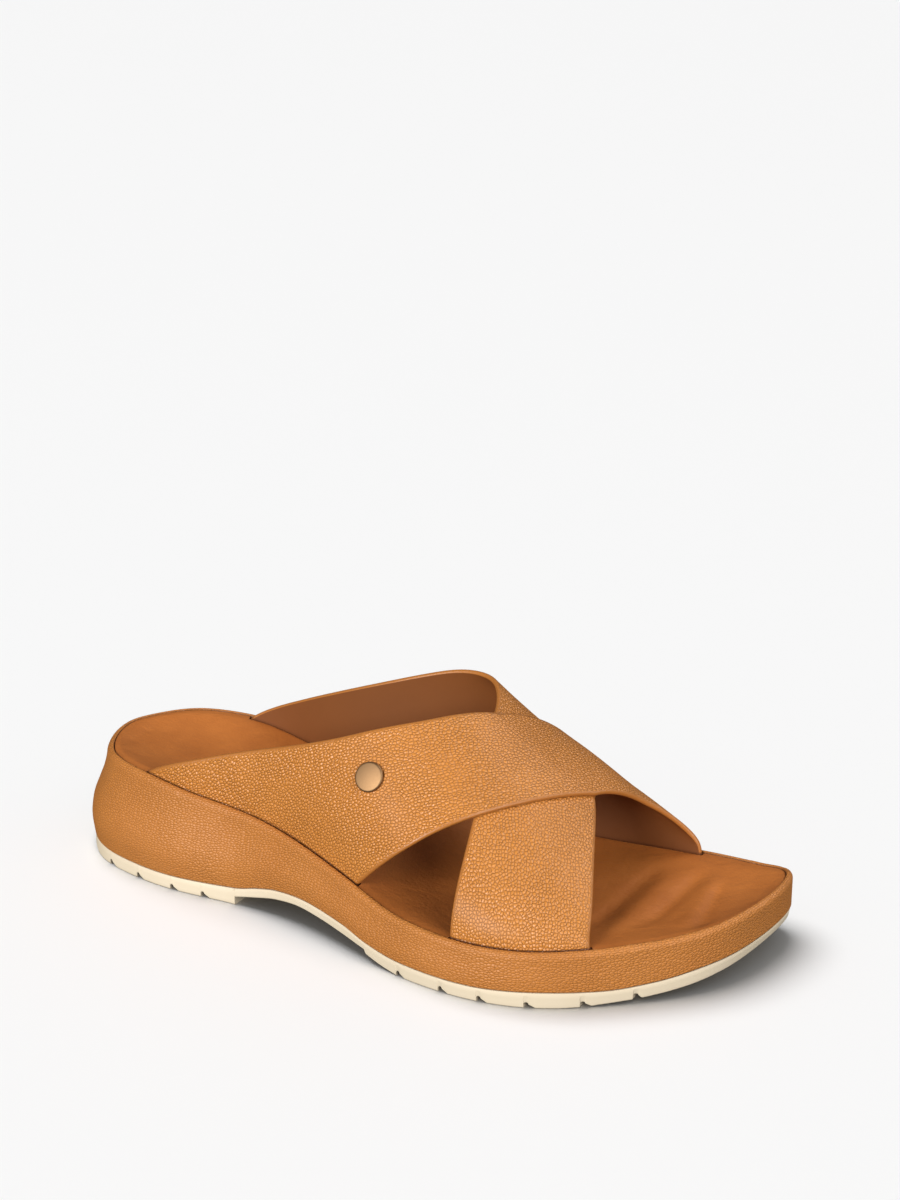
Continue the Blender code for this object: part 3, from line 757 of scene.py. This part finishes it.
def pebbled_leather(name, tones, pitch, depth, roughness, coat, draw):
    """Full-grain leather with a pebble of a pitch and depth in millimetres.

    Tones are its light, deep, valley and edge colours; the valley colour is painted shade in the
    gutters between the pebbles. The grain lies on the flat hide, is drawn out along it by the shares in
    draw, and fades at turned edges.
    """
    light, deep, valley, edge = tones
    material, node = new_material(name)
    band = node("Attribute", out="Fac", attribute_name="turned_edge")
    place = node("Attribute", out="Vector", attribute_name="hide_place")
    bend = node("TexNoise", {
        "Vector": place, "Scale": 0.45 * grain(pitch), "Detail": 1.0,
    }, out="Color", noise_dimensions="2D")
    centred = node("VectorMath", {0: bend, 1: (0.5, 0.5, 0.5)}, operation="SUBTRACT")
    moved = node("VectorMath", {
        0: centred, 1: (0.3 * pitch * MM,) * 3, 2: place,
    }, operation="MULTIPLY_ADD")
    drawn = node("VectorMath", {0: moved, 1: draw}, operation="DIVIDE")
    cells = {"Vector": drawn, "Scale": grain(pitch), "Randomness": 0.85}
    pebbles, creases = (
        node("TexVoronoi", cells, feature=feature, voronoi_dimensions="2D")
        for feature in ("F1", "DISTANCE_TO_EDGE")
    )
    gutter = node("MapRange", {"Value": creases, "From Max": 0.16}, interpolation_type="SMOOTHSTEP")
    crown = node("MapRange", {
        "Value": pebbles, "From Max": 0.85, "To Min": 1.0, "To Max": 0.0,
    }, interpolation_type="SMOOTHSTEP")
    shape = node("Math", {0: gutter, 1: 0.6, 2: crown}, operation="MULTIPLY_ADD")
    fine = node("TexNoise", {
        "Vector": place, "Scale": 3.0 * grain(pitch), "Detail": 1.0,
    }, noise_dimensions="2D")
    rough = node("Math", {0: fine, 1: 0.12, 2: shape}, operation="MULTIPLY_ADD")
    # The grain is livelier in some places of a hide than in others
    patch = node("TexNoise", {"Vector": place, "Scale": grain(16.667)}, noise_dimensions="2D")
    lively = node("MapRange", {
        "Value": patch, "From Min": 0.3, "From Max": 0.7, "To Min": 0.85, "To Max": 1.15,
    })
    kept = node("Math", {0: band, 1: -0.92, 2: 1.0}, operation="MULTIPLY_ADD")
    share = node("Math", {0: kept, 1: lively}, operation="MULTIPLY")
    height = node("Math", {0: rough, 1: share}, operation="MULTIPLY")
    bump = node("Bump", {"Distance": depth * MM, "Height": height})
    cloud = clouded(node, place, 22.222, light, deep, "2D", Detail=3.0, Roughness=0.55)
    # The gutters between the pebbles are painted darker, as painted shade in the creases,
    # and are less polished than their crowns
    hollow = node("Math", {0: gutter, 1: -0.5, 2: 0.5}, operation="MULTIPLY_ADD")
    sunk = node("Math", {0: hollow, 1: kept}, operation="MULTIPLY")
    tone = node("Mix", {0: sunk, 6: cloud, 7: linear(valley)}, out=2, data_type="RGBA")
    turned = node("Math", {0: band, 1: 0.75}, operation="MULTIPLY")
    edged = node("Mix", {0: turned, 6: tone, 7: linear(edge)}, out=2, data_type="RGBA")
    gloss = node("MapRange", {"Value": gutter, "To Min": roughness + 0.18, "To Max": roughness})
    finish(node, {
        "Base Color": seam_tone(node, edged), "Roughness": gloss,
        "IOR": 1.5, "Normal": bump, "Coat Weight": coat, "Coat Roughness": 0.3,
        "Specular IOR Level": 0.5,
    })
    return material


def smooth_leather(name, light, deep, roughness, crease):
    """Plain leather: even, with faint pores, low creases of a depth in millimetres, and a cloudy tone.

    Real pores are about 0.2 mm apart; they are drawn at 1.25 mm, so that they show in the render.
    """
    material, node = new_material(name)
    place = node("TexCoord", out="Object")
    pores = node("TexNoise", {"Vector": place, "Scale": grain(1.25)})
    folds = node("TexNoise", {"Vector": place, "Scale": grain(7.6923), "Distortion": 0.6})
    height = node("Math", {0: folds, 1: 2.0, 2: pores}, operation="MULTIPLY_ADD")
    bump = node("Bump", {"Distance": crease * MM, "Height": height})
    cloud = clouded(node, place, 25.0, light, deep, Detail=4.0, Roughness=0.6)
    finish(node, {
        "Base Color": seam_tone(node, cloud), "Roughness": roughness, "IOR": 1.5,
        "Normal": bump, "Specular IOR Level": 0.3,
    })
    return material


def moulded_rubber(name, light, deep):
    """Cream rubber: matt from the mould, barely uneven in tone.

    The mould's grit is about 0.1 mm; it is drawn at 0.56 mm, so that it shows.
    """
    material, node = new_material(name)
    place = node("TexCoord", out="Object")
    cloud = clouded(node, place, 11.111, light, deep, Detail=3.0)
    grit = node("TexNoise", {"Vector": place, "Scale": grain(0.5556), "Detail": 1.0})
    bump = node("Bump", {"Distance": 0.02 * MM, "Height": grit})
    finish(node, {"Base Color": cloud, "Roughness": 0.55, "IOR": 1.52, "Normal": bump})
    return material


def satin_bronze(name, colour):
    """Pressed brass with a satin rose bronze plating: a soft, warm, slightly uneven shine.

    The satin's grit is about 0.05 mm; it is drawn at 0.4 mm, so that it shows.
    """
    material, node = new_material(name)
    place = node("TexCoord", out="Object")
    grit = node("TexNoise", {"Vector": place, "Scale": grain(0.4)})
    bump = node("Bump", {"Distance": 0.008 * MM, "Height": grit})
    gloss = node("MapRange", {"Value": grit, "To Min": 0.48, "To Max": 0.58})
    finish(node, {
        "Base Color": linear(colour), "Metallic": 1.0, "Roughness": gloss,
        "Normal": bump,
    })
    return material


def painted_board(name, colour):
    """Matt white paint on the studio's floor."""
    material, node = new_material(name)
    finish(node, {"Base Color": linear(colour), "Roughness": 0.9, "Specular IOR Level": 0.2})
    return material


# Pieces

def settle(piece, node):
    """The piece rides on the sandal and stands for its solid."""
    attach(piece, "root")
    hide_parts(node)


def underside(x):
    """Height of the tread's underside along the sandal, with its arch, ramp and notches."""
    height = np.array(tread_height(x))
    arch = (x > HEEL_BREAST) & (x < ARCH["station"][-1])
    height[arch] = arch_height(x[arch])
    ramp = (x >= ARCH["station"][-1]) & (x < BALL_RAMP["station"][-1])
    height[ramp] = ramp_height(x[ramp])
    for station in NOTCH_STATIONS:
        top = float(tread_height(station)) + NOTCH_HEIGHT - NOTCH_RADIUS
        left = station - NOTCH_RADIUS
        right = station + NOTCH_RADIUS
        crown = top + np.sqrt(np.clip(NOTCH_RADIUS ** 2 - (x - station) ** 2, 0.0, None))
        slant = top * (1.0 - (x - right) / (NOTCH_REACH - NOTCH_RADIUS))
        for shape, inside in (
            (crown, (x >= left) & (x <= right)),
            (slant, (x > right) & (x < station + NOTCH_REACH)),
        ):
            height[inside] = np.maximum(height[inside], shape[inside])
    return height


def tread_stations(sizes):
    """Stations where the tread's rows lie: close at its ribs, notches and ends."""
    low = TREAD_EDGE - float(tread_offset(0.0))
    high = FOOTBED_LENGTH + float(tread_offset(FOOTBED_LENGTH)) - TREAD_EDGE
    turn = np.linspace(0.0, np.pi, 160)
    step = sizes.rib_pitch / MM / 4.0
    rows = [
        low + (high - low) * 0.5 * (1.0 - np.cos(turn)),
        np.arange(6.0, HEEL_BREAST - 1.0, step),
        np.arange(142.0, 244.0, step),
        (HEEL_BREAST, HEEL_BREAST + 0.04, ARCH["station"][-1] - 0.04),
    ]
    for station in NOTCH_STATIONS:
        rows.append(station + NOTCH_RADIUS * np.cos(np.linspace(np.pi, 0.0, 9)))
        rows.append((station - NOTCH_RADIUS - 0.04, station + NOTCH_REACH))
    rows = np.sort(np.concatenate(rows))
    kept = [rows[0]]
    for value in rows[1:-1]:
        if value - kept[-1] >= CLOSEST_ROWS:
            kept.append(value)
    return np.array(kept + [rows[-1]])


def tread_rib(x, y, left, right, sizes):
    """Height of the fine ribs' grooves; they stop short of the sole's edge except at the toe."""
    wave = 0.5 - 0.5 * np.cos(2.0 * np.pi * x / (sizes.rib_pitch / MM))
    margin = np.minimum(y - left, right - y)
    inland = np.maximum(smooth((margin - RIB_MARGIN) / 0.6), smooth((x - TOE_RIBS) / 4.0))
    lug = ((x > HEEL_RIBS[0]) & (x < HEEL_RIBS[1])) | ((x > BALL_RIBS[0]) & (x < BALL_RIBS[1]))
    clear = np.ones_like(x)
    for station in NOTCH_STATIONS:
        clear = np.minimum(clear, smooth((np.abs(x - station - 0.6) - 2.4) / 0.5))
    return sizes.rib_depth / MM * wave * inland * clear * lug


def build_tread(sizes, tones):
    stations = tread_stations(sizes)

    def low_offset(angles):
        return tread_offset(station_of(angles)) - TREAD_EDGE

    dense = np.linspace(0.0, np.pi, 4000)
    sides = []
    for turn in (dense, 2.0 * np.pi - dense):
        x, _ = plan(turn, low_offset(turn))
        sides.append(np.interp(stations, np.maximum.accumulate(x), dense))
    angles = np.concatenate([sides[0], 2.0 * np.pi - sides[1][-2:0:-1]])
    angles[0] = 0.0
    angles[len(stations) - 1] = np.pi
    station = station_of(angles)
    x_low, y_low = plan(angles, low_offset(angles))
    opposite = y_low[np.concatenate([[0], np.arange(len(angles) - 1, 0, -1)])]
    base = underside(x_low)
    ribs = tread_rib(x_low, y_low, np.minimum(y_low, opposite), np.maximum(y_low, opposite), sizes)
    bottom = base + ribs
    top = seam_height(station) - 0.5 * GAP
    outer = tread_offset(station)
    upper = wall_profile(np.zeros(1))[0] * wall_flare(station) - TREAD_INSET
    rings = [np.column_stack([x_low, y_low, bottom])]
    for turn in np.radians((30.0, 60.0, 90.0)):
        out = outer - TREAD_EDGE * (1.0 - math.sin(turn))
        rise = TREAD_EDGE * (1.0 - math.cos(turn))
        rings.append(ring(angles, out, base + ribs * (1.0 - math.sin(turn)) + rise))
    low = base + TREAD_EDGE
    for share in (0.2, 0.4, 0.6, 0.8, 0.93, 1.0):
        lip = TREAD_LIP * smooth((share - 0.8) / 0.2)
        rings.append(ring(angles, outer + (upper - outer) * share - lip, low + (top - low) * share))

    def under(x, y):
        return underside(x) + tread_rib(x, y, y[:, :1], y[:, -1:], sizes)

    rubber = moulded_rubber("moulded cream rubber", *tones)
    piece = layered_object("tread", rings, (40, under), (8, None), rubber)
    piece.data.set_sharp_from_angle(angle=math.radians(42.0))
    settle(piece, "outsole")


def build_wedge(sizes, tones):
    angles = seat_angles(RIM_POINTS)
    station = station_of(angles)
    seam = seam_height(station) + 0.5 * GAP
    rim = rim_height(station)
    tuck = sizes.wedge_tuck / MM
    shoulder = sizes.rim_shoulder / MM
    pucker = rim_pucker(angles)

    def wall(height):
        """How far the wall stands outside the rim at a height."""
        return wall_flare(station) * wall_profile(np.minimum((height - seam) / (rim - seam), 1.0))

    rings = []
    for turn in np.radians((0.0, 25.0, 50.0, 75.0)):
        height = seam + tuck * (1.0 - math.cos(turn))
        rings.append(ring(angles, wall(height) - tuck * (1.0 - math.sin(turn)), height))
    low = seam + tuck
    high = rim - shoulder
    for share in np.linspace(0.0, 1.0, WALL_RINGS):
        height = low + (high - low) * share
        rings.append(ring(angles, wall(height) + 0.5 * pucker * smooth(share * 2.0 - 1.0), height))
    seam_inset = RECESS_INSET - SEAM_LIP
    reach = seam_inset - RIM_LIP
    for turn in np.radians(np.arange(10.0, 91.0, 10.0)):
        height = high + (shoulder + RIM_CREST) * math.sin(turn)
        out = (wall(height) + 0.5 * pucker) * math.cos(turn) - reach * (1.0 - math.cos(turn))
        rings.append(ring(angles, out, height + pucker * math.sin(turn)))
    for turn in np.radians((20.0, 40.0, 60.0, 80.0)):
        height = rim + RIM_CREST + pucker - RIM_LIP * (1.0 - math.cos(turn))
        rings.append(ring(angles, -reach - RIM_LIP * math.sin(turn), height))
    for inset, depth in zip((seam_inset, RECESS_INSET), SEAM_DEPTHS):
        rings.append(ring(angles, -inset, rim - depth))
    drop = FOOTBED_THICKNESS + SEAT_CLEARANCE
    floor = ring(angles, -RECESS_INSET, rim)
    floor[:, 2] = footbed_height(floor[:, 0], floor[:, 1]) - drop
    rings.append(floor)
    # Milled leather drawn wet over the wedge: a low, tight grain with a soft satin light. The real
    # pebble is about 0.7 mm; it is drawn at 1 mm, so that it shows in the render.
    hide = pebbled_leather(
        "wrapped milled leather", (*tones, tones[0]), pitch=1.0, depth=0.14, roughness=0.5, coat=0.03,
        draw=(1.3, 0.8, 1.0),
    )
    # Painted shade on the lip, seam, recess and floor rings, where shade falls in the seam
    shades = np.zeros(len(rings))
    shades[-len(SEAM_SHADES):] = SEAM_SHADES
    floor_cap = (10, lambda x, y: footbed_height(x, y) - drop)
    piece = layered_object("wedge_cover", rings, (6, None), floor_cap, hide, shades)
    wrap_hide(piece, rings)
    settle(piece, "midsole")


def build_footbed(sizes, tones):
    angles = seat_angles(RIM_POINTS)
    inset = footbed_inset(angles, sizes.strap_thickness / MM)
    edge = sizes.footbed_edge / MM

    def top(x, y):
        return footbed_height(x, y) + FOOTBED_DROP - FOOTBED_RISE + footbed_relief(x, y)

    def level(in_from_edge, below):
        edge_ring = ring(angles, -(inset + in_from_edge), 0.0)
        edge_ring[:, 2] = top(edge_ring[:, 0], edge_ring[:, 1]) - below
        return edge_ring

    bottom = level(0.0, 0.0)
    bottom[:, 2] = footbed_height(bottom[:, 0], bottom[:, 1]) - FOOTBED_THICKNESS
    rings = [bottom, level(0.0, 2.2), level(0.0, edge)]
    for turn in np.radians((20.0, 40.0, 60.0, 80.0)):
        rings.append(level(edge * (1.0 - math.cos(turn)), edge * (1.0 - math.sin(turn))))
    rings.append(level(edge + 0.3, 0.0))
    # Smooth dyed sock leather: flat, even and nearly matt, so only broad folds catch the light
    sock = smooth_leather("smooth footbed leather", *tones, roughness=0.52, crease=0.16)
    low = (8, lambda x, y: footbed_height(x, y) - FOOTBED_THICKNESS)
    # The footbed's edge rings take painted seam shade, darkest at the bottom and none on top
    piece = layered_object("footbed_cover", rings, low, (110, top), sock, FOOTBED_SHADES)
    settle(piece, "insole")


def build_straps(sizes, tones, lining_tones):
    # Drum-tumbled full-grain leather: an open, irregular pebble that sparkles in soft light. The real
    # pebble is about 0.8 mm; it is drawn at 1.15 mm, so that it shows in the render.
    outside = pebbled_leather(
        "tumbled full grain leather", tones, pitch=1.15, depth=0.27, roughness=0.34, coat=0.14,
        draw=(1.12, 0.88, 1.0),
    )
    # Smooth glued lining leather: even brown, no grain
    lining = smooth_leather("glued lining leather", *lining_tones, roughness=0.5, crease=0.02)
    surface = over_surface(sizes.strap_lift / MM)
    for name, face, rear, front in (
        ("strap_under", last_point, under_rear, under_front),
        ("strap_over", surface, over_rear, over_front),
    ):
        settle(strap_object(name, face, rear, front, sizes, outside, lining), "upper")


def badge_frame(surface):
    """Place and outward direction of the rivet on the over strap."""
    run = np.array([BADGE_ACROSS_RUN])
    x = over_rear(run) * (1.0 - BADGE_ACROSS_STRAP) + over_front(run) * BADGE_ACROSS_STRAP
    point = Vector(to_origin(surface(x, run))[0])
    normal = Vector(face_normal(surface, x, run)[0])
    return Matrix.Translation(point) @ normal.to_track_quat("Z", "Y").to_matrix().to_4x4()


def rivet_profile(radius, dome):
    """Distance from the axis and height over the strap, from the cap's crown to the shank's foot."""
    face = radius - CAP_BEVEL
    sphere = (face ** 2 + dome ** 2) / (2.0 * dome)
    reach = math.asin(face / sphere)
    top = GAP + CAP_RIM + dome - sphere
    profile = [(sphere * math.sin(t), top + sphere * math.cos(t)) for t in np.linspace(0.0, reach, 14)]
    middle = profile[-1][0] - CAP_BEVEL * math.sin(reach), profile[-1][1] - CAP_BEVEL * math.cos(reach)
    for turn in np.linspace(reach, 0.5 * np.pi, 8)[1:]:
        profile.append((middle[0] + CAP_BEVEL * math.sin(turn), middle[1] + CAP_BEVEL * math.cos(turn)))
    outer = profile[-1][0]
    profile += [(outer, 0.2), (outer - 0.08, 0.05), (outer - 0.3, 0.0)]
    return profile + [(SHANK_RADIUS, 0.0), (SHANK_RADIUS, -SHANK_DEPTH)]


def build_rivet(sizes, colour):
    profile = rivet_profile(sizes.cap_radius / MM, sizes.cap_dome / MM)
    turns = np.linspace(0.0, 2.0 * np.pi, CAP_STEPS, endpoint=False)
    points = [(0.0, 0.0, profile[0][1])]
    for r, z in profile[1:]:
        points += [(r * math.cos(t), r * math.sin(t), z) for t in turns]
    points.append((0.0, 0.0, profile[-1][1]))
    rows = 1 + np.arange((len(profile) - 1) * CAP_STEPS).reshape(-1, CAP_STEPS)
    following = np.roll(rows, -1, axis=1)
    faces = [
        grid_faces(rows, close=True)[:, ::-1],
        np.column_stack([np.zeros(CAP_STEPS, int), rows[0], following[0]]),
        np.column_stack([np.full(CAP_STEPS, len(points) - 1), following[-1], rows[-1]]),
    ]
    seat = badge_frame(over_surface(sizes.strap_lift / MM))
    placed = np.array([tuple(seat @ (Vector(p) * MM)) for p in points])
    bronze = satin_bronze("satin rose bronze plating", colour)
    piece = mesh_object("rivet_cap", placed / MM + (ORIGIN_STATION, ORIGIN_SIDE, 0.0), faces, bronze)
    piece.data.set_sharp_from_angle(angle=math.radians(50.0))
    settle(piece, "badge")


def direction(azimuth, elevation):
    """Unit vector; azimuth 0 points to the near side and grows towards the toe."""
    flat = math.cos(elevation)
    return Vector((math.sin(azimuth) * flat, -math.cos(azimuth) * flat, math.sin(elevation)))


def place_object(name, data, azimuth, elevation):
    """Light or camera that looks at the sandal from a direction."""
    item = bpy.data.objects.new(name, data)
    item.rotation_mode = "QUATERNION"
    item.rotation_quaternion = direction(azimuth, elevation).to_track_quat("Z", "Y")
    bpy.context.scene.collection.objects.link(item)
    return item


def add_sun(name, studio, lit):
    """Soft far light that reaches only the objects in lit."""
    data = bpy.data.lights.new(name, "SUN")
    data.energy = getattr(studio, name)
    data.angle = getattr(studio, name + "_spread")
    angles = [getattr(studio, name + part) for part in ("_azimuth", "_elevation")]
    light = place_object(name, data, *angles)
    light.light_linking.receiver_collection = lit


def group_of(name, objects):
    """Collection that says which objects a light reaches."""
    group = bpy.data.collections.new(name)
    for item in objects:
        group.objects.link(item)
    return group


def build_surroundings(studio):
    """White surroundings, brighter overhead than at eye level and dim below, with a pale backdrop."""
    world = bpy.data.worlds.new("studio")
    bpy.context.scene.world = world
    world.use_nodes = True
    world.node_tree.nodes.clear()
    node = partial(add_node, world.node_tree)
    spot = node("TexCoord", out="Generated")
    rise = node("SeparateXYZ", {0: spot}, out="Z")
    ceiling = node("MapRange", {
        "Value": rise, "From Min": 0.15, "From Max": 0.9,
        "To Min": studio.fill, "To Max": studio.ceiling,
    }, interpolation_type="SMOOTHSTEP")
    around = node("MapRange", {
        "Value": rise, "From Min": -0.12, "From Max": 0.02,
        "To Min": studio.ground, "To Max": ceiling,
    }, interpolation_type="SMOOTHSTEP")
    # A backdrop as pale as the floor stands behind the sandal, without adding to its light
    seen = node("Mix", {
        0: node("LightPath", out="Is Camera Ray"), 2: around, 3: studio.backdrop,
    }, data_type="FLOAT")
    shade = node("Background", {"Color": (1.0, 1.0, 1.0, 1.0), "Strength": seen})
    node("OutputWorld", {"Surface": shade})


def build_stage(studio):
    scene = bpy.context.scene
    sandal = group_of("sandal light", [item for item in scene.objects if item.type == "MESH"])
    mesh = bpy.data.meshes.new("floor")
    corners = [(x * FLOOR_HALF, y * FLOOR_HALF, 0.0) for x, y in ((-1, -1), (1, -1), (1, 1), (-1, 1))]
    mesh.from_pydata(corners, [], [(0, 1, 2, 3)])
    mesh.materials.append(painted_board("matt white painted board", "#F2F2F2"))
    floor = bpy.data.objects.new("floor", mesh)
    scene.collection.objects.link(floor)
    # The floor takes the shadow but throws no light back, so the sole's underside stays dark
    floor.visible_diffuse = False
    floor.visible_glossy = False
    groups = {"sandal": sandal, "floor": group_of("floor light", [floor])}
    build_surroundings(studio)
    for name, light in LIGHTS.items():
        add_sun(name, studio, groups[light[-1]])

    data = bpy.data.cameras.new("camera")
    data.lens = CAMERA_LENS
    data.sensor_width = 36.0
    data.clip_start = 0.01
    data.clip_end = 100.0
    camera = place_object(
        "camera", data, math.radians(CAMERA_AZIMUTH), math.radians(CAMERA_ELEVATION),
    )
    camera.location = CAMERA_PLACE
    scene.camera = camera
    scene.view_settings.view_transform = "Standard"
    scene.view_settings.look = "None"


# Settings

def hex_colour(colour):
    """sRGB hex code of a stored gamma colour."""
    return "#" + "".join(f"{round(255 * min(max(c, 0.0), 1.0)):02X}" for c in colour[:3])


def colour_property(name, description, code):
    shade = [int(code[i:i + 2], 16) / 255.0 for i in (1, 3, 5)]
    return FloatVectorProperty(
        name=name, description=description, default=shade, subtype="COLOR_GAMMA", min=0.0, max=1.0,
    )


def length_property(name, description, millimetres):
    return FloatProperty(
        name=name, description=description, default=millimetres * MM, min=0.0, precision=5,
        subtype="DISTANCE", unit="LENGTH",
    )


def strength_property(name, description, value):
    return FloatProperty(name=name, description=description, default=value, min=0.0)


def turn_property(name, description, degrees):
    return FloatProperty(
        name=name, description=description, default=math.radians(degrees), subtype="ANGLE",
        unit="ROTATION",
    )


def properties(kind, rows):
    """A property of a kind for each identifier, with its description and default."""
    return {key: kind(key.replace("_", " ").capitalize(), *row) for key, row in rows.items()}


class SandalSizes(bpy.types.PropertyGroup):
    """Small sizes of the covers, straps, tread and rivet cap"""
    __annotations__ = properties(length_property, {
        "strap_thickness": ("Leather and lining together", 1.7),
        "strap_turn": ("How far the strap's face rounds off towards its edge", 0.8),
        "strap_lift": ("Rise of the over strap where it crosses", 1.76),
        "edge_band": ("Width of the smooth band along a turned edge", 1.1),
        "rim_shoulder": ("Height over which the wedge's wall rounds in to the seam", 1.7),
        "wedge_tuck": ("Radius of the wrapped leather's lower edge", 0.7),
        "footbed_edge": ("Radius of the footbed's edge", 0.35),
        "rib_pitch": ("Distance between the tread's fine ribs", 1.5),
        "rib_depth": ("Depth of the tread's fine ribs", 0.3),
        "cap_radius": ("Radius of the rivet cap", 5.15),
        "cap_dome": ("Rise of the rivet cap's dome", 0.25),
    })


class SandalColours(bpy.types.PropertyGroup):
    """Leather, rubber and metal colours"""
    __annotations__ = properties(colour_property, {
        "strap_light": ("Lighter tone of the straps", "#D58B40"),
        "strap_deep": ("Deeper tone of the straps", "#CA8137"),
        # The straps' valley tone is painted shade in the gutters of the grain
        "strap_valley": ("Tone between the pebbles of the straps", "#8E4E18"),
        "strap_edge": ("Tone of the straps' turned edges", "#A0622A"),
        "wedge_light": ("Lighter tone of the wedge", "#C57E38"),
        "wedge_deep": ("Deeper tone of the wedge", "#BB7430"),
        # The wedge's valley tone is painted shade in the gutters of its grain
        "wedge_valley": ("Tone in the wedge's grain", "#9A5C20"),
        "footbed_light": ("Lighter tone of the footbed", "#C77938"),
        "footbed_deep": ("Deeper tone of the footbed", "#995321"),
        "lining_light": ("Lighter tone of the lining", "#7F4B25"),
        "lining_deep": ("Deeper tone of the lining", "#72421F"),
        "tread_light": ("Lighter tone of the rubber tread", "#E2D2B8"),
        "tread_deep": ("Deeper tone of the rubber tread", "#DDCCAE"),
        "rivet": ("Plating of the rivet cap", "#957452"),
    })


# Strength, azimuth, elevation and spread in degrees, and what each light reaches
LIGHTS = {
    "dome": (0.66, 0.0, 90.0, 150.0, "floor"),
    "key": (3.42, -10.0, 20.0, 30.0, "sandal"),
    "side": (1.75, 68.0, 25.0, 40.0, "sandal"),
    "back": (1.3, 140.0, 45.0, 40.0, "sandal"),
    "overhead": (2.57, -100.0, 68.0, 46.0, "floor"),
}
FLOOR_HALF = 20.0


def light_properties():
    """Strength and angles of every light."""
    found = {}
    for key, (strength, *angles, reached) in LIGHTS.items():
        of_light = f"of the {key} light on the {reached}"
        found |= properties(strength_property, {key: (f"Strength {of_light}", strength)})
        found |= properties(turn_property, {
            f"{key}_{part}": (f"{part.capitalize()} {of_light}", angle)
            for part, angle in zip(("azimuth", "elevation", "spread"), angles)
        })
    return found


class SandalStudio(bpy.types.PropertyGroup):
    """Strength, direction and size of the studio's lights"""
    __annotations__ = properties(strength_property, {
        "fill": ("Strength of the white surroundings at eye level", 0.08),
        "ceiling": ("Strength of the surroundings overhead", 0.10),
        "ground": ("Light that comes back from under the sandal", 0.06),
        "backdrop": ("Brightness of the backdrop behind the sandal", 0.939),
    }) | light_properties()


# Operators

def tones(context, *names):
    """Hex codes of colours by their identifiers."""
    return [hex_colour(getattr(context.scene.sandal_colours, name)) for name in names]


class SANDAL_OT_tread(bpy.types.Operator):
    """Build the moulded rubber tread with its arch, notches and ribs"""
    bl_idname = "sandal.tread"
    bl_label = "Tread"

    def execute(self, context):
        build_tread(context.scene.sandal_sizes, tones(context, "tread_light", "tread_deep"))
        return {"FINISHED"}


class SANDAL_OT_wedge(bpy.types.Operator):
    """Build the leather-covered wedge with its rolled rim"""
    bl_idname = "sandal.wedge"
    bl_label = "Wedge"

    def execute(self, context):
        hide = tones(context, "wedge_light", "wedge_deep", "wedge_valley")
        build_wedge(context.scene.sandal_sizes, hide)
        return {"FINISHED"}


class SANDAL_OT_footbed(bpy.types.Operator):
    """Build the contoured leather footbed"""
    bl_idname = "sandal.footbed"
    bl_label = "Footbed"

    def execute(self, context):
        build_footbed(context.scene.sandal_sizes, tones(context, "footbed_light", "footbed_deep"))
        return {"FINISHED"}


class SANDAL_OT_straps(bpy.types.Operator):
    """Build the two crossing leather straps with their lining"""
    bl_idname = "sandal.straps"
    bl_label = "Straps"

    def execute(self, context):
        outside = tones(context, "strap_light", "strap_deep", "strap_valley", "strap_edge")
        lining = tones(context, "lining_light", "lining_deep")
        build_straps(context.scene.sandal_sizes, outside, lining)
        return {"FINISHED"}


class SANDAL_OT_rivet(bpy.types.Operator):
    """Build the domed rivet cap on the over strap"""
    bl_idname = "sandal.rivet"
    bl_label = "Rivet cap"

    def execute(self, context):
        build_rivet(context.scene.sandal_sizes, *tones(context, "rivet"))
        return {"FINISHED"}


class SANDAL_OT_stage(bpy.types.Operator):
    """Build the pale floor, the soft lights and the camera"""
    bl_idname = "sandal.stage"
    bl_label = "Stage"

    def execute(self, context):
        build_stage(context.scene.sandal_studio)
        return {"FINISHED"}


OPERATORS = (
    SANDAL_OT_tread,
    SANDAL_OT_wedge,
    SANDAL_OT_footbed,
    SANDAL_OT_straps,
    SANDAL_OT_rivet,
    SANDAL_OT_stage,
)


class SANDAL_PT_panel(bpy.types.Panel):
    """Pieces of the sandal, and the sizes, colours and lights they take"""
    bl_label = "Cross Strap Sandal"
    bl_space_type = "VIEW_3D"
    bl_region_type = "UI"
    bl_category = "Sandal"

    def draw(self, context):
        scene = context.scene
        for operator in OPERATORS:
            self.layout.operator(operator.bl_idname)
        for group in (scene.sandal_sizes, scene.sandal_colours, scene.sandal_studio):
            box = self.layout.box()
            for name in group.__annotations__:
                box.prop(group, name)


CLASSES = (SandalSizes, SandalColours, SandalStudio, *OPERATORS, SANDAL_PT_panel)


def register():
    for item in CLASSES:
        bpy.utils.register_class(item)
    bpy.types.Scene.sandal_sizes = PointerProperty(type=SandalSizes)
    bpy.types.Scene.sandal_colours = PointerProperty(type=SandalColours)
    bpy.types.Scene.sandal_studio = PointerProperty(type=SandalStudio)


def unregister():
    del bpy.types.Scene.sandal_studio
    del bpy.types.Scene.sandal_colours
    del bpy.types.Scene.sandal_sizes
    for item in reversed(CLASSES):
        bpy.utils.unregister_class(item)


def main():
    register()
    bpy.ops.sandal.tread()
    bpy.ops.sandal.wedge()
    bpy.ops.sandal.footbed()
    bpy.ops.sandal.straps()
    bpy.ops.sandal.rivet()
    bpy.ops.sandal.stage()


if __name__ == "__main__":
    main()
